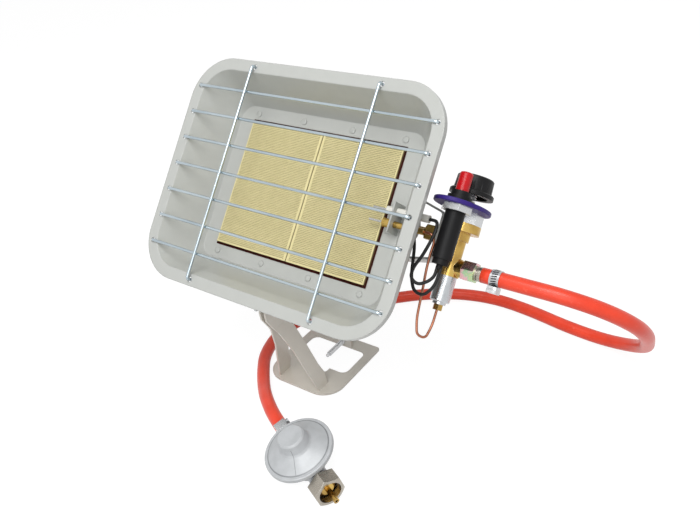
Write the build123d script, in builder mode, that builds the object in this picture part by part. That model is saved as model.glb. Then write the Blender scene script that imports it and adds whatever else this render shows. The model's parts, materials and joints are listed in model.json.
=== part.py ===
from build123d import *
from math import cos, pi, radians, sin, sqrt, tan
import os

os.makedirs("parts", exist_ok=True)

# Clearances, in millimetres
TOUCH = 0.02
RUNNING = 0.05
SLIP = 0.15

# Where the stand stands in the heater's footprint
STAND_X = -30.0
STAND_FRONT_Y = -36.94

# Tilt of the heating head
TILT = 39.2
PIVOT_FORWARD = 15.0
PIVOT_HEIGHT = 116.0
LUG_REACH = 29.8

# Reflector bowl
REFLECTOR_WIDTH = 296.0
REFLECTOR_HEIGHT = 234.0
REFLECTOR_CORNER = 45.0
REFLECTOR_DEPTH = 44.0
REFLECTOR_SHEET = 1.0
RIM_WIDTH = 12.0
RIM_LIP = 6.0
BACK_PLATE_WIDTH = 223.0
BACK_PLATE_HEIGHT = 166.0
BACK_PLATE_CORNER = 14.0

# Wire guard
WIRE_RADIUS = 1.5
WIRE_BEND = 2.5
WIRE_TAIL = 5.0
WIRE_HOLE_RADIUS = 2.4
WIRE_HOLE_INSET = 8.2
VERTICAL_HOLE_INSET = 6.5
HORIZONTAL_WIRES = 7
HORIZONTAL_PITCH = 28.1
VERTICAL_OFFSET = 75.0

# Ceramic plaques and their seal
PLAQUE_WIDTH = 92.0
PLAQUE_HEIGHT = 132.0
PLAQUE_THICKNESS = 13.0
PLAQUE_JOINT = 1.0
PLAQUE_PROUD = 3.0
PLAQUE_BORDER = 5.0
PLAQUE_FIELD_STEP = 0.6
SEAL_GAP_SIDE = 2.0
SEAL_GAP_END = 2.75
SEAL_SLACK = 0.3
SEAL_SHEET = 1.5
SEAL_BORDER = 8.0

# Burner housing and its rivets
HOUSING_WALL = 1.2
HOUSING_FLANGE = 10.0
HOUSING_CORNER = 3.0
CHAMBER_DEPTH = 28.5
RIVET_HEAD = 0.7
RIVET_HEAD_SHARE = 0.25
RIVET_SHANK_SHARE = 0.56
RIVET_LEDGE_SHARE = 0.39
RIVET_PITCH = 60.0
RIVETS_IN_ROW = 4

# Gas way into the burner
GAS_BACK = 70.0
GAS_UP = -1.0
MIXING_RADIUS = 9.5
MIXING_WALL = 1.0
MIXING_FLARE = 2.5
MIXING_INNER_END = -70.0
MIXING_MOUTH = 112.0
JET_RADIUS = 4.0
JET_ORIFICE = 0.5
JET_GAP = 4.0
JET_LENGTH = 11.0
JET_HOLDER_FLATS = 14.0
JET_SEAT = 1.5

# Strap bracket of the valve
STRAP_THICKNESS = 2.0
STRAP_WIDTH = 22.0
STRAP_WEB_X = 140.2
STRAP_WEB_TOP = 18.0
STRAP_WEB_BOTTOM = -24.0
STRAP_ARM_TOP = 33.0
STRAP_ARM_BOTTOM = -35.0
STRAP_FOOT = 13.0
STRAP_BEND = 3.0
SCREW_RADIUS = 2.0
SCREW_HEAD_RADIUS = 3.8
SCREW_HEAD = 2.5
SCREW_LENGTH = 8.0

# Control valve, measured along its upright axis
VALVE_X = 157.5
VALVE_BACK = 70.0
COLLAR_RADIUS = 12.0
COLLAR_TOP = 33.0
FLANGE_RADIUS = 17.5
FLANGE_TOP = 14.0
FLANGE_BOTTOM = 6.0
FLANGE_FLAT_GAP = 0.3
BODY_RADIUS = 10.0
NECK_TOP = -2.0
NECK_RADIUS = 8.2
CROSS_TOP = -18.0
CROSS_BOTTOM = -35.5
CROSS_RADIUS = 10.5
CAP_THREAD_RADIUS = 8.0
CAP_THREAD_END = -42.0
PORT_SHOULDER_RADIUS = 6.5
PORT_RADIUS = 5.0
PORT_LENGTH = 8.0
GAS_BORE = 2.5
PLUG_RADIUS = 6.0
PLUG_TOP = 7.5
PLUG_BOTTOM = -12.0
PLUG_SEAT = 8.0
SEAT_TOP = -21.5
SEAT_BOTTOM = -23.8
SEAT_BORE = 4.0
SAFETY_BORE = 6.5
SPINDLE_RADIUS = 3.0
SPINDLE_FLAT = 2.3
SPINDLE_TOP = 53.0
SPINDLE_BOTTOM = -20.0

# Dial plate with its nuts
DIAL_UNDERSIDE = 25.0
DIAL_THICKNESS = 4.0
DIAL_LENGTH = 67.0
DIAL_WIDTH = 48.0
DIAL_EDGE = 1.0
COLLAR_NUT_FLATS = 30.0
TOP_NUT_RADIUS = 15.0
TOP_NUT_HEIGHT = 3.0

# Knob
KNOB_BOTTOM = 40.0
KNOB_TOP = 58.0
KNOB_SKIRT_RADIUS = 20.6
KNOB_SKIRT = 4.5
KNOB_RADIUS = 17.8
KNOB_TOP_RADIUS = 17.1
KNOB_WALL = 2.5
KNOB_CAVITY = 8.0
KNOB_BOSS_RADIUS = 6.5
KNOB_BOSS_BOTTOM = 44.0
KNOB_FLUTES = 16
KNOB_FLUTE_RADIUS = 1.1

# Piezo igniter, measured along its upright axis
PIEZO_X = 161.0
PIEZO_BACK = 40.0
PIEZO_RADIUS = 9.0
PIEZO_STEP_TOP = -24.0
PIEZO_STEP_RADIUS = 7.5
PIEZO_BOTTOM = -29.2
PIEZO_TERMINAL_RADIUS = 3.0
PIEZO_TERMINAL_END = -33.0
PIEZO_HEAD_RADIUS = 11.0
PIEZO_HEAD = 4.0
PIEZO_SLEEVE_RADIUS = 8.8
PIEZO_SLEEVE_TOP = 37.5
PIEZO_BORE_FLOOR = 5.0
PIEZO_NUT_FLATS = 25.0
PIEZO_NUT_HEIGHT = 6.0
BUTTON_RADIUS = 6.0
BUTTON_BOTTOM = 24.0
BUTTON_TOP = 55.0
BUTTON_EDGE = 1.5

# Flame guard under the valve
MAGNET_RADIUS = 6.8
MAGNET_TOP = -43.5
MAGNET_CAP_RADIUS = 9.3
MAGNET_CAP_BOTTOM = -60.0
MAGNET_CAP_FLOOR = 2.5
MAGNET_COLLAR_RADIUS = 6.3
MAGNET_COLLAR = 2.5
MAGNET_STUD_RADIUS = 3.0
DISC_RADIUS = 5.2
DISC_THICKNESS = 2.2
DISC_STEM_RADIUS = 1.5
DISC_STEM_END = -38.0
DISC_GAP = 0.3
END_NUT_FLATS = 8.0
END_NUT_HEIGHT = 5.5

# Coil springs
SPRING_WIRE = 0.5
SPRING_ENDS = 0.1
KNOB_SPRING_RADIUS = 5.0
KNOB_SPRING_TURNS = 5
PIEZO_SPRING_RADIUS = 4.3
PIEZO_SPRING_TURNS = 7
SAFETY_SPRING_RADIUS = 4.2
SAFETY_SPRING_TURNS = 5
REGULATOR_SPRING_RADIUS = 7.0
REGULATOR_SPRING_TURNS = 4

# Thermocouple and ignition electrode, side by side through the bowl's right wall
SENSOR_BACK = 33.0
THERMOCOUPLE_UP = -5.5
THERMOCOUPLE_TIP = 83.4
THERMOCOUPLE_ROD_RADIUS = 1.3
THERMOCOUPLE_BODY_START = 98.5
THERMOCOUPLE_BODY_END = 141.0
THERMOCOUPLE_BODY_RADIUS = 3.0
THERMOCOUPLE_HEAD_RADIUS = 4.2
THERMOCOUPLE_HEAD_END = 108.5
THERMOCOUPLE_NUT_FLATS = 8.5
THERMOCOUPLE_NUT_GAP = 3.1
THERMOCOUPLE_NUT_LENGTH = 8.0
ELECTRODE_UP = 6.5
ELECTRODE_TIP = 84.0
ELECTRODE_RADIUS = 1.0
INSULATOR_START = 99.0
INSULATOR_END = 142.5
INSULATOR_RADIUS = 3.5
BRACKET_SHEET = 1.5
BRACKET_EDGE_GAP = 1.5
BRACKET_WINDOW_GAP = 2.5
BRACKET_HALF_HEIGHT = 14.0
BRACKET_FRONT = 24.0

# Thin tubes and leads, with the corners of their routes in the head's own
# coordinates: to the right, up the reflector, back behind the rim
CAPILLARY_RADIUS = 1.2
CAPILLARY_ROUTE = [
    (141.0, -5.5, 33.0),
    (149.0, -5.5, 33.0),
    (152.0, -11.5, 35.3),
    (150.0, -24.0, 38.5),
    (148.9, -38.0, 42.5),
    (148.7, -52.0, 47.0),
    (148.0, -66.0, 51.2),
    (147.6, -81.0, 55.5),
    (150.5, -94.5, 59.0),
    (157.2, -95.5, 64.0),
    (157.5, -83.0, 70.0),
    (157.5, -66.0, 70.0),
]
LEAD_RADIUS = 1.5
IGNITION_LEAD_ROUTE = [
    (142.5, 6.5, 33.0),
    (150.5, 6.5, 33.0),
    (153.0, -3.5, 29.5),
    (150.5, -15.0, 29.5),
    (146.5, -27.0, 31.0),
    (141.5, -37.5, 31.5),
    (140.5, -47.0, 33.0),
    (147.5, -51.5, 35.5),
    (155.0, -47.0, 38.0),
    (159.4, -40.5, 40.0),
    (159.4, -31.0, 40.0),
]
EARTH_LEAD_ROUTE = [
    (116.5, 3.0, 46.5),
    (124.0, -5.0, 44.5),
    (131.0, -17.5, 42.0),
    (134.5, -32.0, 41.0),
    (137.5, -46.0, 40.5),
    (144.0, -57.5, 40.0),
    (154.0, -59.5, 40.0),
    (161.5, -50.0, 40.0),
    (162.9, -40.0, 40.0),
    (162.9, -31.0, 40.0),
]

# Hose coupling on the valve's right branch
HOSE_UP = -26.5
BRANCH_RADIUS = 8.0
BRANCH_END = 172.0
BRANCH_SPIGOT_END = 182.0
COUPLING_FLATS = 17.0
COUPLING_END = 184.0
BARB_COLLAR_RADIUS = 6.8
HOSE_START = 190.0
BARB_TAIL = 18.0
BARB_RADIUS = 3.8
BARB_RIDGE_RADIUS = 4.15
BARB_RIDGES = 4
BARB_BORE = 2.5

# Hose, with the corners of its route measured from the middle of the stand's
# front edge: to the right, away from the viewer, above the table
HOSE_RADIUS = 7.0
HOSE_BORE = 4.2
BEND_SHARE = 0.45
HOSE_FIRST_RUN = 36.0
HOSE_ROUTE = [
    (263.0, 62.0, 165.0),
    (295.0, 75.5, 152.5),
    (315.5, 97.0, 130.5),
    (321.0, 125.0, 102.5),
    (316.5, 157.0, 71.5),
    (311.5, 186.0, 43.0),
    (291.0, 209.0, 20.5),
    (258.0, 223.0, 7.05),
    (216.5, 227.0, 7.05),
    (172.0, 236.5, 7.05),
    (126.0, 241.0, 7.05),
    (82.0, 232.0, 7.05),
    (42.0, 211.0, 7.05),
    (6.0, 180.0, 7.05),
    (-33.0, 144.5, 7.05),
    (-63.5, 104.0, 7.05),
    (-72.0, 58.5, 7.05),
    (-61.5, 21.0, 7.05),
    (-43.5, -3.5, 7.05),
    (-26.0, -23.0, 7.05),
    (-5.0, -42.0, 14.0),
]

# Worm-drive hose clamps
CLAMP_WIDTH = 9.0
CLAMP_BAND = 0.9
CLAMP_INSET = 13.5
CLAMP_HOUSING_LENGTH = 12.0
CLAMP_HOUSING_HEIGHT = 6.0
CLAMP_SCREW_RADIUS = 2.2
CLAMP_SCREW_HEAD_RADIUS = 3.4
CLAMP_SCREW_HEAD = 3.0

# Regulator
REGULATOR_X = 83.4
REGULATOR_Y = -90.1
REGULATOR_HEIGHT = 17.8
REGULATOR_TURN = -24.8
REGULATOR_ROLL = 16.6
DISC_RIM_RADIUS = 33.4
DISC_RIM_BOTTOM = 13.0
DISC_RIM_JOINT = 16.0
DISC_RIM_TOP = 18.0
BOWL_RADIUS = 28.8
BOWL_WAIST_RADIUS = 15.0
BOWL_WAIST = 2.0
BOWL_FOOT = -13.6
BOWL_CAVITY_RADIUS = 26.0
BOWL_CAVITY_SHOULDER = 14.5
BOWL_CAVITY_FLOOR = 5.0
BOWL_CAVITY_FLOOR_RADIUS = 12.0
COVER_SHOULDER_RADIUS = 16.2
COVER_SHOULDER = 25.5
CAP_BASE_RADIUS = 14.8
CAP_TOP_RADIUS = 12.9
CAP_TOP = 38.0
COVER_WALL = 2.2
DIAPHRAGM_RADIUS = 30.6
DIAPHRAGM_THICKNESS = 1.2
INLET_BOSS_RADIUS = 9.5
INLET_BOSS_END = 33.9
OUTLET_NECK_RADIUS = 7.5
OUTLET_END = -28.0
PASSAGE_RADIUS = 2.5
NIPPLE_FLANGE_RADIUS = 9.6
NIPPLE_FLANGE_START = 37.5
NIPPLE_FLANGE_END = 40.6
NIPPLE_NECK_RADIUS = 6.0
NIPPLE_CONE_END = 43.6
NIPPLE_TUBE_RADIUS = 2.6
NIPPLE_TIP = 59.5
NIPPLE_THREAD_START = 24.0
UNION_FLATS = 27.0
UNION_START = 34.0
UNION_END = 48.5
UNION_BORE = 10.9
UNION_BACK_WALL = 3.4
LEVER_LENGTH = 15.0
LEVER_WIDTH = 4.0
LEVER_THICKNESS = 2.0
LEVER_HEIGHT = 9.0
LEVER_POST_X = 9.5

# Stand of bent sheet
STAND_SHEET = 2.0
STAND_WIDTH = 92.0
STAND_DEPTH = 98.0
STAND_FRONT_CORNER = 24.0
STAND_BACK_CORNER = 4.0
WINDOW_LEFT = -36.0
WINDOW_RIGHT = 36.0
WINDOW_FRONT = 41.0
WINDOW_BACK = 83.0
WINDOW_CORNER = 8.0
NOTCH_WIDTH = 30.0
NOTCH_DEPTH = 8.0
LEG_FOOT_X = 26.0
LEG_BEND = 3.0
EAR_START = 95.0
EAR_TOP = 127.0
LEG_SIDE = [
    (5.3, 0.0),
    (21.0, 0.0),
    (21.0, 16.0),
    (16.5, 29.0),
    (9.5, 62.0),
    (3.5, 86.0),
    (-1.5, 127.0),
    (-26.0, 127.0),
    (-31.5, 118.0),
    (-30.5, 109.0),
    (-18.5, 88.0),
    (-8.7, 60.0),
    (-2.7, 33.5),
]

# Tilt pivot
LUG_THICKNESS = 4.0
LUG_RADIUS = 8.0
LUG_CLEARANCE = 0.15
LUG_FOOT_WIDTH = 24.0
LUG_FOOT_SHEET = 2.5
LUG_FOOT_FRONT = 62.0
PIVOT_RADIUS = 3.0
PIVOT_HEAD_RADIUS = 6.0
PIVOT_HEAD = 3.0
PIVOT_TAIL = 12.0
WASHER_RADIUS = 6.0
WASHER_THICKNESS = 1.2
WING_HUB_RADIUS = 5.0
WING_HUB = 6.0
WING_SPAN = 26.0
WING_THICKNESS = 2.0
WING_HEIGHT = 9.0

# Clamp screw in the stand's upturned tab
SCREW_TAB_X = 4.0
SCREW_TAB_WIDTH = 24.0
SCREW_TAB_HEIGHT = 13.0
SCREW_TAB_THICKNESS = 3.0
CLAMP_BOLT_HEIGHT = 7.0
CLAMP_BOLT_RADIUS = 3.0
CLAMP_BOLT_TIP = 52.0
CLAMP_BOLT_TIP_RADIUS = 2.0
CLAMP_BOLT_TIP_LENGTH = 4.0
CLAMP_BOLT_HEAD_START = 112.0
CLAMP_BOLT_HEAD_LENGTH = 10.0
CLAMP_BOLT_HEAD_RADIUS = 6.5
CLAMP_BOLT_KNURLS = 18
CLAMP_NUT_FLATS = 10.0
CLAMP_NUT_HEIGHT = 5.0

# Sizes that follow from those above
HEAD_UP = Vector(0, sin(radians(TILT)), cos(radians(TILT)))
HEAD_BACK = Vector(0, cos(radians(TILT)), -sin(radians(TILT)))
PIVOT = Vector(STAND_X, STAND_FRONT_Y - PIVOT_FORWARD, PIVOT_HEIGHT)
PIVOT_DROP = BACK_PLATE_HEIGHT / 2 + LUG_REACH
HEAD_ORIGIN = PIVOT + HEAD_UP * PIVOT_DROP - HEAD_BACK * REFLECTOR_DEPTH
HEAD = Plane(origin=HEAD_ORIGIN, x_dir=(1, 0, 0), z_dir=-HEAD_BACK)

MOUTH_WIDTH = REFLECTOR_WIDTH - 2 * RIM_WIDTH
MOUTH_HEIGHT = REFLECTOR_HEIGHT - 2 * RIM_WIDTH
MOUTH_CORNER = REFLECTOR_CORNER - RIM_WIDTH
PLATE_BACK = REFLECTOR_DEPTH + REFLECTOR_SHEET
PLAQUES_WIDTH = 2 * PLAQUE_WIDTH + PLAQUE_JOINT
WINDOW_WIDTH = PLAQUES_WIDTH + 2 * SEAL_GAP_SIDE
WINDOW_HEIGHT = PLAQUE_HEIGHT + 2 * SEAL_GAP_END
PLAQUE_FRONT = REFLECTOR_DEPTH - PLAQUE_PROUD
PLAQUE_REAR = PLAQUE_FRONT + PLAQUE_THICKNESS
POCKET_FLOOR = PLAQUE_REAR + SEAL_SHEET
POCKET_WIDTH = WINDOW_WIDTH + SEAL_SLACK
POCKET_HEIGHT = WINDOW_HEIGHT + SEAL_SLACK
CHAMBER_WIDTH = PLAQUES_WIDTH - 2 * SEAL_BORDER
CHAMBER_HEIGHT = PLAQUE_HEIGHT - 2 * SEAL_BORDER
CHAMBER_REAR = POCKET_FLOOR + CHAMBER_DEPTH
CHAMBER_SIDE = CHAMBER_WIDTH / 2 + HOUSING_WALL
CHAMBER_UNDERSIDE = -(CHAMBER_HEIGHT / 2 + HOUSING_WALL)
STRAP_FACE = STRAP_WEB_X + STRAP_THICKNESS
DIAL_TOP = DIAL_UNDERSIDE + DIAL_THICKNESS
WIRE_PITCH_ROWS = [HORIZONTAL_PITCH * (row - (HORIZONTAL_WIRES - 1) / 2) for row in range(HORIZONTAL_WIRES)]
RIVET_LEDGE_START = POCKET_HEIGHT / 2 + HOUSING_WALL
RIVET_LEDGE = BACK_PLATE_HEIGHT / 2 - RIVET_LEDGE_START
RIVET_ROW_UP = RIVET_LEDGE_START + RIVET_LEDGE * RIVET_LEDGE_SHARE
RIVET_HEAD_RADIUS = RIVET_LEDGE * RIVET_HEAD_SHARE
RIVET_RADIUS = RIVET_HEAD_RADIUS * RIVET_SHANK_SHARE
BRACKET_X = BACK_PLATE_WIDTH / 2 - BRACKET_EDGE_GAP
BRACKET_FOOT_START = WINDOW_WIDTH / 2 + BRACKET_WINDOW_GAP
NUT_FRONT = SENSOR_BACK - THERMOCOUPLE_NUT_FLATS / sqrt(3)
WALL_AT_NUT = MOUTH_WIDTH / 2 - (MOUTH_WIDTH - BACK_PLATE_WIDTH) / 2 * NUT_FRONT / REFLECTOR_DEPTH
THERMOCOUPLE_NUT_START = WALL_AT_NUT + THERMOCOUPLE_NUT_GAP
EAR_X = LUG_THICKNESS / 2 + LUG_CLEARANCE
EAR_OUTER_X = EAR_X + STAND_SHEET


def head_point(x, up, back):
    """Point of the heating head: right of its middle, up the reflector, behind the rim."""
    return HEAD.from_local_coords(Vector(x, up, -back))


def facing(back, x=0.0, up=0.0):
    """Plane parallel to the rim: sketch X runs right, sketch Y runs up."""
    return Plane(origin=head_point(x, up, back), x_dir=HEAD.x_dir, z_dir=HEAD.z_dir)


def across(x, up=0.0, back=0.0):
    """Plane square to the width: sketch X runs back, sketch Y runs up."""
    return Plane(origin=head_point(x, up, back), x_dir=-HEAD.z_dir, z_dir=HEAD.x_dir)


def level(up, x=0.0, back=0.0):
    """Plane square to the head's upright: sketch X runs right, sketch Y runs back."""
    return Plane(origin=head_point(x, up, back), x_dir=HEAD.x_dir, z_dir=HEAD.y_dir)


def stand_point(x, y, z):
    """Point measured from the middle of the stand's front edge, on the table."""
    return Vector(STAND_X + x, STAND_FRONT_Y + y, z)


VALVE_AXIS = level(0, VALVE_X, VALVE_BACK)
PIEZO_AXIS = level(0, PIEZO_X, PIEZO_BACK)
GAS_AXIS = across(0, GAS_UP, GAS_BACK)
HOSE_AXIS = across(0, HOSE_UP, VALVE_BACK)
REGULATOR_ALONG = Vector(cos(radians(REGULATOR_TURN)), sin(radians(REGULATOR_TURN)), 0)
REGULATOR_SIDE = Vector(-sin(radians(REGULATOR_TURN)), cos(radians(REGULATOR_TURN)), 0)
REGULATOR_UP = Vector(0, 0, cos(radians(REGULATOR_ROLL))) - REGULATOR_SIDE * sin(radians(REGULATOR_ROLL))
REGULATOR_MIDDLE = stand_point(REGULATOR_X, REGULATOR_Y, REGULATOR_HEIGHT)
DISC_AXIS = Plane(origin=REGULATOR_MIDDLE, x_dir=REGULATOR_ALONG, z_dir=REGULATOR_UP)
FLOW_AXIS = Plane(origin=REGULATOR_MIDDLE, x_dir=REGULATOR_UP, z_dir=REGULATOR_ALONG)
VALVE_CLAMP_AXIS = Plane(origin=HOSE_AXIS.origin, x_dir=HEAD.y_dir, z_dir=HEAD.x_dir)
REGULATOR_CLAMP_AXIS = Plane(origin=REGULATOR_MIDDLE, x_dir=-REGULATOR_UP, z_dir=REGULATOR_ALONG)
PIVOT_AXIS = Plane(origin=PIVOT, x_dir=(0, 1, 0), z_dir=(1, 0, 0))
CLAMP_BOLT_AXIS = Plane(origin=stand_point(SCREW_TAB_X, 0, CLAMP_BOLT_HEIGHT), x_dir=(1, 0, 0), z_dir=(0, 1, 0))


def profile_plane(axis):
    """Plane through an axis: sketch X is the radius, sketch Y the distance along it."""
    return Plane(origin=axis.origin, x_dir=axis.x_dir, z_dir=-axis.y_dir)


def spin(axis, outline, mode=Mode.ADD):
    """Turn an outline of (radius, distance) points about an axis."""
    with BuildSketch(profile_plane(axis)) as face:
        with BuildLine():
            Polyline(*outline, close=True)
        make_face()
    revolve(face.sketch, axis=Axis(axis.origin, axis.z_dir), mode=mode)


def rod(axis, radius, start, end, mode=Mode.ADD):
    """Round bar, or round hole, along an axis."""
    spin(axis, [(0, start), (radius, start), (radius, end), (0, end)], mode)


def ring(axis, inner, outer, start, end, mode=Mode.ADD):
    """Round ring about an axis."""
    spin(axis, [(inner, start), (outer, start), (outer, end), (inner, end)], mode)


def hexagon(axis, flats, start, end, turn=0, mode=Mode.ADD):
    """Hexagonal bar along an axis, sized across its flats; unturned, a corner points to X."""
    with BuildSketch(axis.offset(start)) as face:
        RegularPolygon(flats / sqrt(3), 6, rotation=turn)
    extrude(face.sketch, amount=end - start, mode=mode)


def block(plane, width, height, depth, corner=0.0, mode=Mode.ADD):
    """Rectangular block from a plane, with rounded corners if a radius is given."""
    with BuildSketch(plane) as face:
        if corner > 0:
            RectangleRounded(width, height, corner)
        else:
            Rectangle(width, height)
    extrude(face.sketch, amount=depth, mode=mode)


def coil(axis, radius, start, end, turns):
    """Coil spring of round wire along an axis, open at both ends."""
    low = start + SPRING_WIRE + SPRING_ENDS
    high = end - SPRING_WIRE - SPRING_ENDS
    foot = axis.offset(low).origin
    with BuildLine() as route:
        Helix(pitch=(high - low) / turns, height=high - low, radius=radius, center=foot, direction=axis.z_dir)
    with BuildSketch(Plane(origin=route.line @ 0, z_dir=route.line % 0)) as section:
        Circle(SPRING_WIRE)
    sweep(section.sketch, path=route.line, is_frenet=True)


def bend_radii(points):
    """Largest bend radius that each corner's two runs allow."""
    radii = []
    for before, corner, after in zip(points, points[1:], points[2:]):
        run_in = corner - before
        run_out = after - corner
        half_turn = radians(run_in.get_angle(run_out)) / 2
        radii.append(BEND_SHARE * min(run_in.length, run_out.length) / tan(half_turn))
    return radii


def tube(points, radius, bore=0.0, radii=None):
    """Tube of straight runs joined by tangent arcs; gives back its route."""
    with BuildLine() as route:
        FilletPolyline(*points, radius=radii or bend_radii(points))
    with BuildSketch(Plane(origin=route.line @ 0, z_dir=route.line % 0)) as section:
        Circle(radius)
        if bore > 0:
            Circle(bore, mode=Mode.SUBTRACT)
    sweep(section.sketch, path=route.line)
    return route.wire()


def finish(piece, name):
    """Label a finished piece and write its file."""
    piece.part.label = name
    export_step(piece.part, f"parts/{name}.step")


# Reflector and wire guard

def reflector():
    """Pressed bowl: flat rim with a turned lip, sloping walls, back plate with a window."""
    with BuildPart() as bowl:
        block(facing(0), REFLECTOR_WIDTH, REFLECTOR_HEIGHT, -REFLECTOR_SHEET, REFLECTOR_CORNER)
        with BuildSketch(facing(0)):
            RectangleRounded(REFLECTOR_WIDTH, REFLECTOR_HEIGHT, REFLECTOR_CORNER)
            RectangleRounded(
                REFLECTOR_WIDTH - 2 * REFLECTOR_SHEET,
                REFLECTOR_HEIGHT - 2 * REFLECTOR_SHEET,
                REFLECTOR_CORNER - REFLECTOR_SHEET,
                mode=Mode.SUBTRACT,
            )
        extrude(amount=-RIM_LIP)
        with BuildSketch(facing(0)):
            RectangleRounded(
                MOUTH_WIDTH + 2 * REFLECTOR_SHEET,
                MOUTH_HEIGHT + 2 * REFLECTOR_SHEET,
                MOUTH_CORNER + REFLECTOR_SHEET,
            )
        with BuildSketch(facing(PLATE_BACK)):
            RectangleRounded(
                BACK_PLATE_WIDTH + 2 * REFLECTOR_SHEET,
                BACK_PLATE_HEIGHT + 2 * REFLECTOR_SHEET,
                BACK_PLATE_CORNER + REFLECTOR_SHEET,
            )
        loft()
        with BuildSketch(facing(0)):
            RectangleRounded(MOUTH_WIDTH, MOUTH_HEIGHT, MOUTH_CORNER)
        with BuildSketch(facing(REFLECTOR_DEPTH)):
            RectangleRounded(BACK_PLATE_WIDTH, BACK_PLATE_HEIGHT, BACK_PLATE_CORNER)
        loft(mode=Mode.SUBTRACT)
        block(facing(PLATE_BACK), WINDOW_WIDTH, WINDOW_HEIGHT, 2 * REFLECTOR_SHEET, mode=Mode.SUBTRACT)
        with BuildSketch(facing(0)):
            with Locations(*guard_holes()):
                Circle(WIRE_HOLE_RADIUS)
        extrude(amount=-REFLECTOR_SHEET, mode=Mode.SUBTRACT)
        with BuildSketch(facing(REFLECTOR_DEPTH)):
            with Locations(*rivet_places()):
                Circle(RIVET_RADIUS + TOUCH)
        extrude(amount=-REFLECTOR_SHEET, mode=Mode.SUBTRACT)
        wall_x = BACK_PLATE_WIDTH / 2
        rim_x = REFLECTOR_WIDTH / 2
        rod(across(0, THERMOCOUPLE_UP, SENSOR_BACK), THERMOCOUPLE_BODY_RADIUS + SLIP, wall_x, rim_x, Mode.SUBTRACT)
        rod(across(0, ELECTRODE_UP, SENSOR_BACK), INSULATOR_RADIUS + SLIP, wall_x, rim_x, Mode.SUBTRACT)
    finish(bowl, "reflector")


def guard_holes():
    """Places of the holes in the rim that take the wires' bent ends."""
    side = REFLECTOR_WIDTH / 2 - WIRE_HOLE_INSET
    end = REFLECTOR_HEIGHT / 2 - VERTICAL_HOLE_INSET
    holes = [(sign * side, up) for up in WIRE_PITCH_ROWS for sign in (-1, 1)]
    holes += [(x, sign * end) for x in (-VERTICAL_OFFSET, VERTICAL_OFFSET) for sign in (-1, 1)]
    return holes


def rivet_places():
    """Places of the rivets above and below the window."""
    row = [RIVET_PITCH * (place - (RIVETS_IN_ROW - 1) / 2) for place in range(RIVETS_IN_ROW)]
    return [(x, sign * RIVET_ROW_UP) for x in row for sign in (-1, 1)]


def guard_wire(start, end, front):
    """One wire that lies in front of the rim, its ends bent back through the holes."""
    (start_x, start_up) = start
    (end_x, end_up) = end
    points = [
        head_point(start_x, start_up, WIRE_TAIL),
        head_point(start_x, start_up, -front),
        head_point(end_x, end_up, -front),
        head_point(end_x, end_up, WIRE_TAIL),
    ]
    tube(points, WIRE_RADIUS, radii=[WIRE_BEND, WIRE_BEND])


def horizontal_wires():
    """Seven wires across the mouth, lying on the rim."""
    side = REFLECTOR_WIDTH / 2 - WIRE_HOLE_INSET
    with BuildPart() as wires:
        for up in WIRE_PITCH_ROWS:
            guard_wire((-side, up), (side, up), WIRE_RADIUS + TOUCH)
    finish(wires, "grill_horizontal_wires")


def vertical_wires():
    """Two wires in front of the others, from the top of the rim to its bottom."""
    end = REFLECTOR_HEIGHT / 2 - VERTICAL_HOLE_INSET
    front = 3 * WIRE_RADIUS + 2 * TOUCH
    with BuildPart() as wires:
        for x in (-VERTICAL_OFFSET, VERTICAL_OFFSET):
            guard_wire((x, -end), (x, end), front)
    finish(wires, "grill_vertical_wires")


# Burner

def plaque(name, side):
    """Ceramic plaque with a raised perforated field inside a plain border."""
    middle = side * (PLAQUE_WIDTH + PLAQUE_JOINT) / 2
    with BuildPart() as tile:
        block(
            facing(PLAQUE_REAR, middle),
            PLAQUE_WIDTH,
            PLAQUE_HEIGHT,
            PLAQUE_THICKNESS - PLAQUE_FIELD_STEP,
        )
        block(
            facing(PLAQUE_FRONT + PLAQUE_FIELD_STEP, middle),
            PLAQUE_WIDTH - 2 * PLAQUE_BORDER,
            PLAQUE_HEIGHT - 2 * PLAQUE_BORDER,
            PLAQUE_FIELD_STEP,
        )
    finish(tile, name)


def plaque_seal():
    """Fibre seal: a wall round the plaques and a flat border behind them."""
    with BuildPart() as seal:
        block(facing(POCKET_FLOOR), WINDOW_WIDTH, WINDOW_HEIGHT, POCKET_FLOOR - REFLECTOR_DEPTH)
        block(facing(PLAQUE_REAR), PLAQUES_WIDTH, PLAQUE_HEIGHT, PLAQUE_REAR - REFLECTOR_DEPTH, mode=Mode.SUBTRACT)
        block(facing(POCKET_FLOOR), CHAMBER_WIDTH, CHAMBER_HEIGHT, SEAL_SHEET, mode=Mode.SUBTRACT)
    finish(seal, "plaque_seal")


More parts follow.
